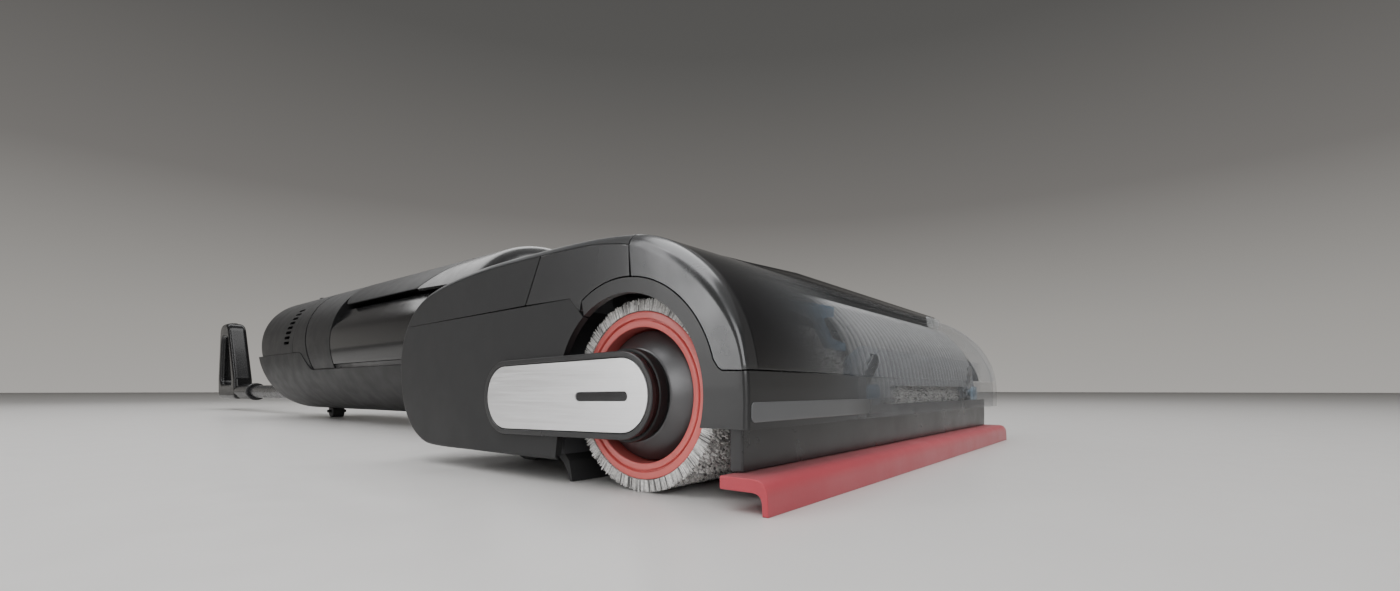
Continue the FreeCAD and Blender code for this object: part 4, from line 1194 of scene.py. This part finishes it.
def build_housing():
    body_loft("trim_ring.band", ring_line, lambda z: ring_line(z) + 2.0, lambda y: SHELL_TOP + 0.5, 0.6,
              "trim", "body", rows=2, bevel=0.3)
    release_hole = rounded([(-9.1, 519.9), (9.1, 519.9), (9.1, 525.7), (-9.1, 525.7)], 1.0)
    body_loft("motor_housing.shell", lambda z: ring_line(z) + 2.2, lambda z: CAP_Y - 0.2,
              lambda y: step_line(y) + 0.5, 0.1, "housing", "body", rows=22,
              carvers=[prism(release_hole, "Z", 122, 140)])

    def cap_lean(z, y):
        return 0.36 * (BODY_TOP - z) * smoothstep((y - CAP_Y - 4.0) / 110.0)

    profile = stretch(rounded_end(640.0, 660.0, BODY_R - 0.1, 18.0, 24.0), CAP_Y + 0.3)
    display_hole = prism(circle_loop(0, 596, 14.4), "Z", 120, 140)
    body_skin("rear_cap.shell", profile, lambda y: REAR_SHELL_TOP + 0.3, True, "housing", cap_lean,
              carvers=[*vent_cutters(), display_hole])


def build_lower_shell():
    def shell_lean(z, y):
        return 0.30 * (REAR_SHELL_TOP + 6.0 - z) * smoothstep((y - CAP_Y) / 110.0)

    profile = stretch(rounded_end(630.0, 641.0, BODY_R + 0.25, 8.0, 8.0, centre=6.0), TANK_FRONT, 4.0)
    foot_gap = rounded([(-6.2, 582.0), (6.2, 582.0), (6.2, 598.0), (-6.2, 598.0)], 1.0)
    rod_hole = circle_loop(0, ROD_Z, 9.1)
    body_skin("lower_shell.base", profile, step_line, False, "shell", shell_lean, round_side=0.78,
              carvers=[prism(foot_gap, "Z", 0, 15), prism(rod_hole, "Y", 600, 680)])


def build_handle():
    """The rod, its collar and the loop grip with two key holes in its top."""
    tube = [(560.0, 8.8), (929.0, 8.8), (929.0, 7.2), (560.0, 7.2)]
    turned("handle_rod.tube", "Y", tube, 0, ROD_Z, "rod_metal", "body")
    collar = [(879.8, 8.95), (879.8, 11.4), (880.4, 12.1), (882.0, 12.2), (882.3, 11.6), (882.9, 11.6),
              (883.2, 12.2), (885.6, 12.2), (885.9, 11.6), (886.5, 11.6), (887.0, 12.0), (887.6,
                                                                                          11.2), (887.6,
                                                                                                  8.95)]
    turned("rod_collar.grip_ring", "Y", collar, 0, ROD_Z, "satin_black", "body")
    outer = rounded([(941.0, 16.3), (1036.0, 16.3), (1036.0, 46.0), (1022.0, 131.0), (978.0, 131.0),
                     (944.0, 46.0)],
                    [8, 17, 40, 19, 20, 14], 12)
    hole = rounded([(962.0, 38.5), (1022.0, 38.5), (1010.0, 109.0), (980.0, 109.0)], [7, 12, 12, 11], 10)
    hole.reverse()
    loop = slab_x("handle_grip.loop", [outer, hole], -11.3, 11.3, 5.6, "gloss_black", "body", 6)
    carve(loop, [prism(circle_loop(0, y, 4.75), "Z", 126.5, 140) for y in (994.0, 1008.0)])
    neck = [(887.9, 9.2), (887.9, 10.6), (888.5, 11.1), (932.0, 11.2), (962.0, 11.2), (966.0, 9.0)]
    turned("handle_grip.neck", "Y", neck, 0, ROD_Z, "gloss_black", "body", ends="flat")


def build_hose():
    """The ribbed hose between the neck and the body."""
    rib = ((0.0, 9.0), (0.3, 10.1), (0.9, 10.6), (1.7, 10.6), (2.3, 10.1), (2.6, 9.0))
    outside = [(97.0 + 5.0 * i + along, r) for i in range(17) for along, r in rib]
    inside = [(y, 7.4) for y in (182.0, 160.0, 140.0, 120.0)]
    profile = [(96.0, 7.4), (96.0, 9.0), *outside, (182.0, 9.0), *inside]
    hose = turned("neck_hose.ribbed", "Y", profile, 0, HOSE_Z, "rubber", None, 48)
    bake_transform(hose)


build_dome()
build_dirty_tank()
build_clean_tank()
build_housing()
build_lower_shell()
build_handle()
build_hose()


# ---------------------------------------------------------------- stage, light and camera

def build_stage():
    bm = bmesh.new()
    half = 9.0
    corners = ((-half, -half), (half, -half), (half, half), (-half, half))
    bm.faces.new([bm.verts.new((x, y, 0)) for x, y in corners])
    floor = new_object("studio_floor", mesh_from_bmesh("studio_floor", bm))
    floor.data.materials.append(surface("studio_floor", (0.62, 0.61, 0.60), 0.32, grain=60.0,
                                        grain_depth=0.00001, vary=0.02, smudge=0.03))


def area_light(name, where, target, size, power, colour=(1, 1, 1)):
    data = bpy.data.lights.new(name, "AREA")
    data.shape = "RECTANGLE"
    data.size, data.size_y = size
    data.energy = power
    data.color = colour
    lamp = new_object(name, data)
    lamp.location = where
    lamp.rotation_euler = (Vector(target) - Vector(where)).to_track_quat("-Z", "Y").to_euler()


SKY_STOPS = ((0.10, (0.38, 0.366, 0.345, 1)), (0.28, (0.18, 0.172, 0.163, 1)),
             (0.5, (0.10, 0.098, 0.094, 1)))


def build_light():
    world = bpy.data.worlds.new("studio")
    bpy.context.scene.world = world
    world.use_nodes = True
    nodes, links = world.node_tree.nodes, world.node_tree.links
    shade = nodes.new("ShaderNodeValToRGB")
    stops = shade.color_ramp.elements
    stops[0].position, stops[0].color = 0.0, (0.46, 0.443, 0.42, 1)
    stops[1].position, stops[1].color = 1.0, (0.055, 0.055, 0.055, 1)
    for position, colour in SKY_STOPS:
        stop = shade.color_ramp.elements.new(position)
        stop.color = colour
    links.new(coordinate(nodes, links, "Generated", "Z"), shade.inputs["Fac"])
    links.new(shade.outputs["Color"], nodes["Background"].inputs["Color"])
    area_light("ceiling", (0.0, 0.0, 3.6), (0.0, 0.0, 0.0), (8.0, 8.0), 60)
    area_light("top_softbox", (-0.15, -0.35, 1.4), (-0.05, -0.35, 0.0), (0.9, 1.8), 24)
    area_light("left_strip", (-1.2, 0.35, 0.75), (-0.05, -0.3, 0.06), (0.3, 1.6), 8)
    area_light("front_fill", (-0.95, -1.25, 0.55), (-0.05, -0.45, 0.05), (0.9, 0.8), 8)
    area_light("back_rim", (0.2, 0.85, 0.85), (-0.1, -0.4, 0.06), (1.6, 0.4), 4)


CAMERA_AT = (-247.1, -117.2, 29.5)
CAMERA_LOOK = (0.783, 0.622, 0.0)
LENS = 14.79
SENSOR = 36.0
SHIFT_UP = 0.0675


def build_camera():
    data = bpy.data.cameras.new("photo_camera")
    data.sensor_width = SENSOR
    data.lens = LENS
    data.shift_y = SHIFT_UP
    data.clip_start = 0.005
    camera = new_object("photo_camera", data)
    camera.location = place(CAMERA_AT)
    camera.rotation_euler = Vector(CAMERA_LOOK).to_track_quat("-Z", "Y").to_euler()
    bpy.context.scene.camera = camera


build_stage()
build_light()
build_camera()
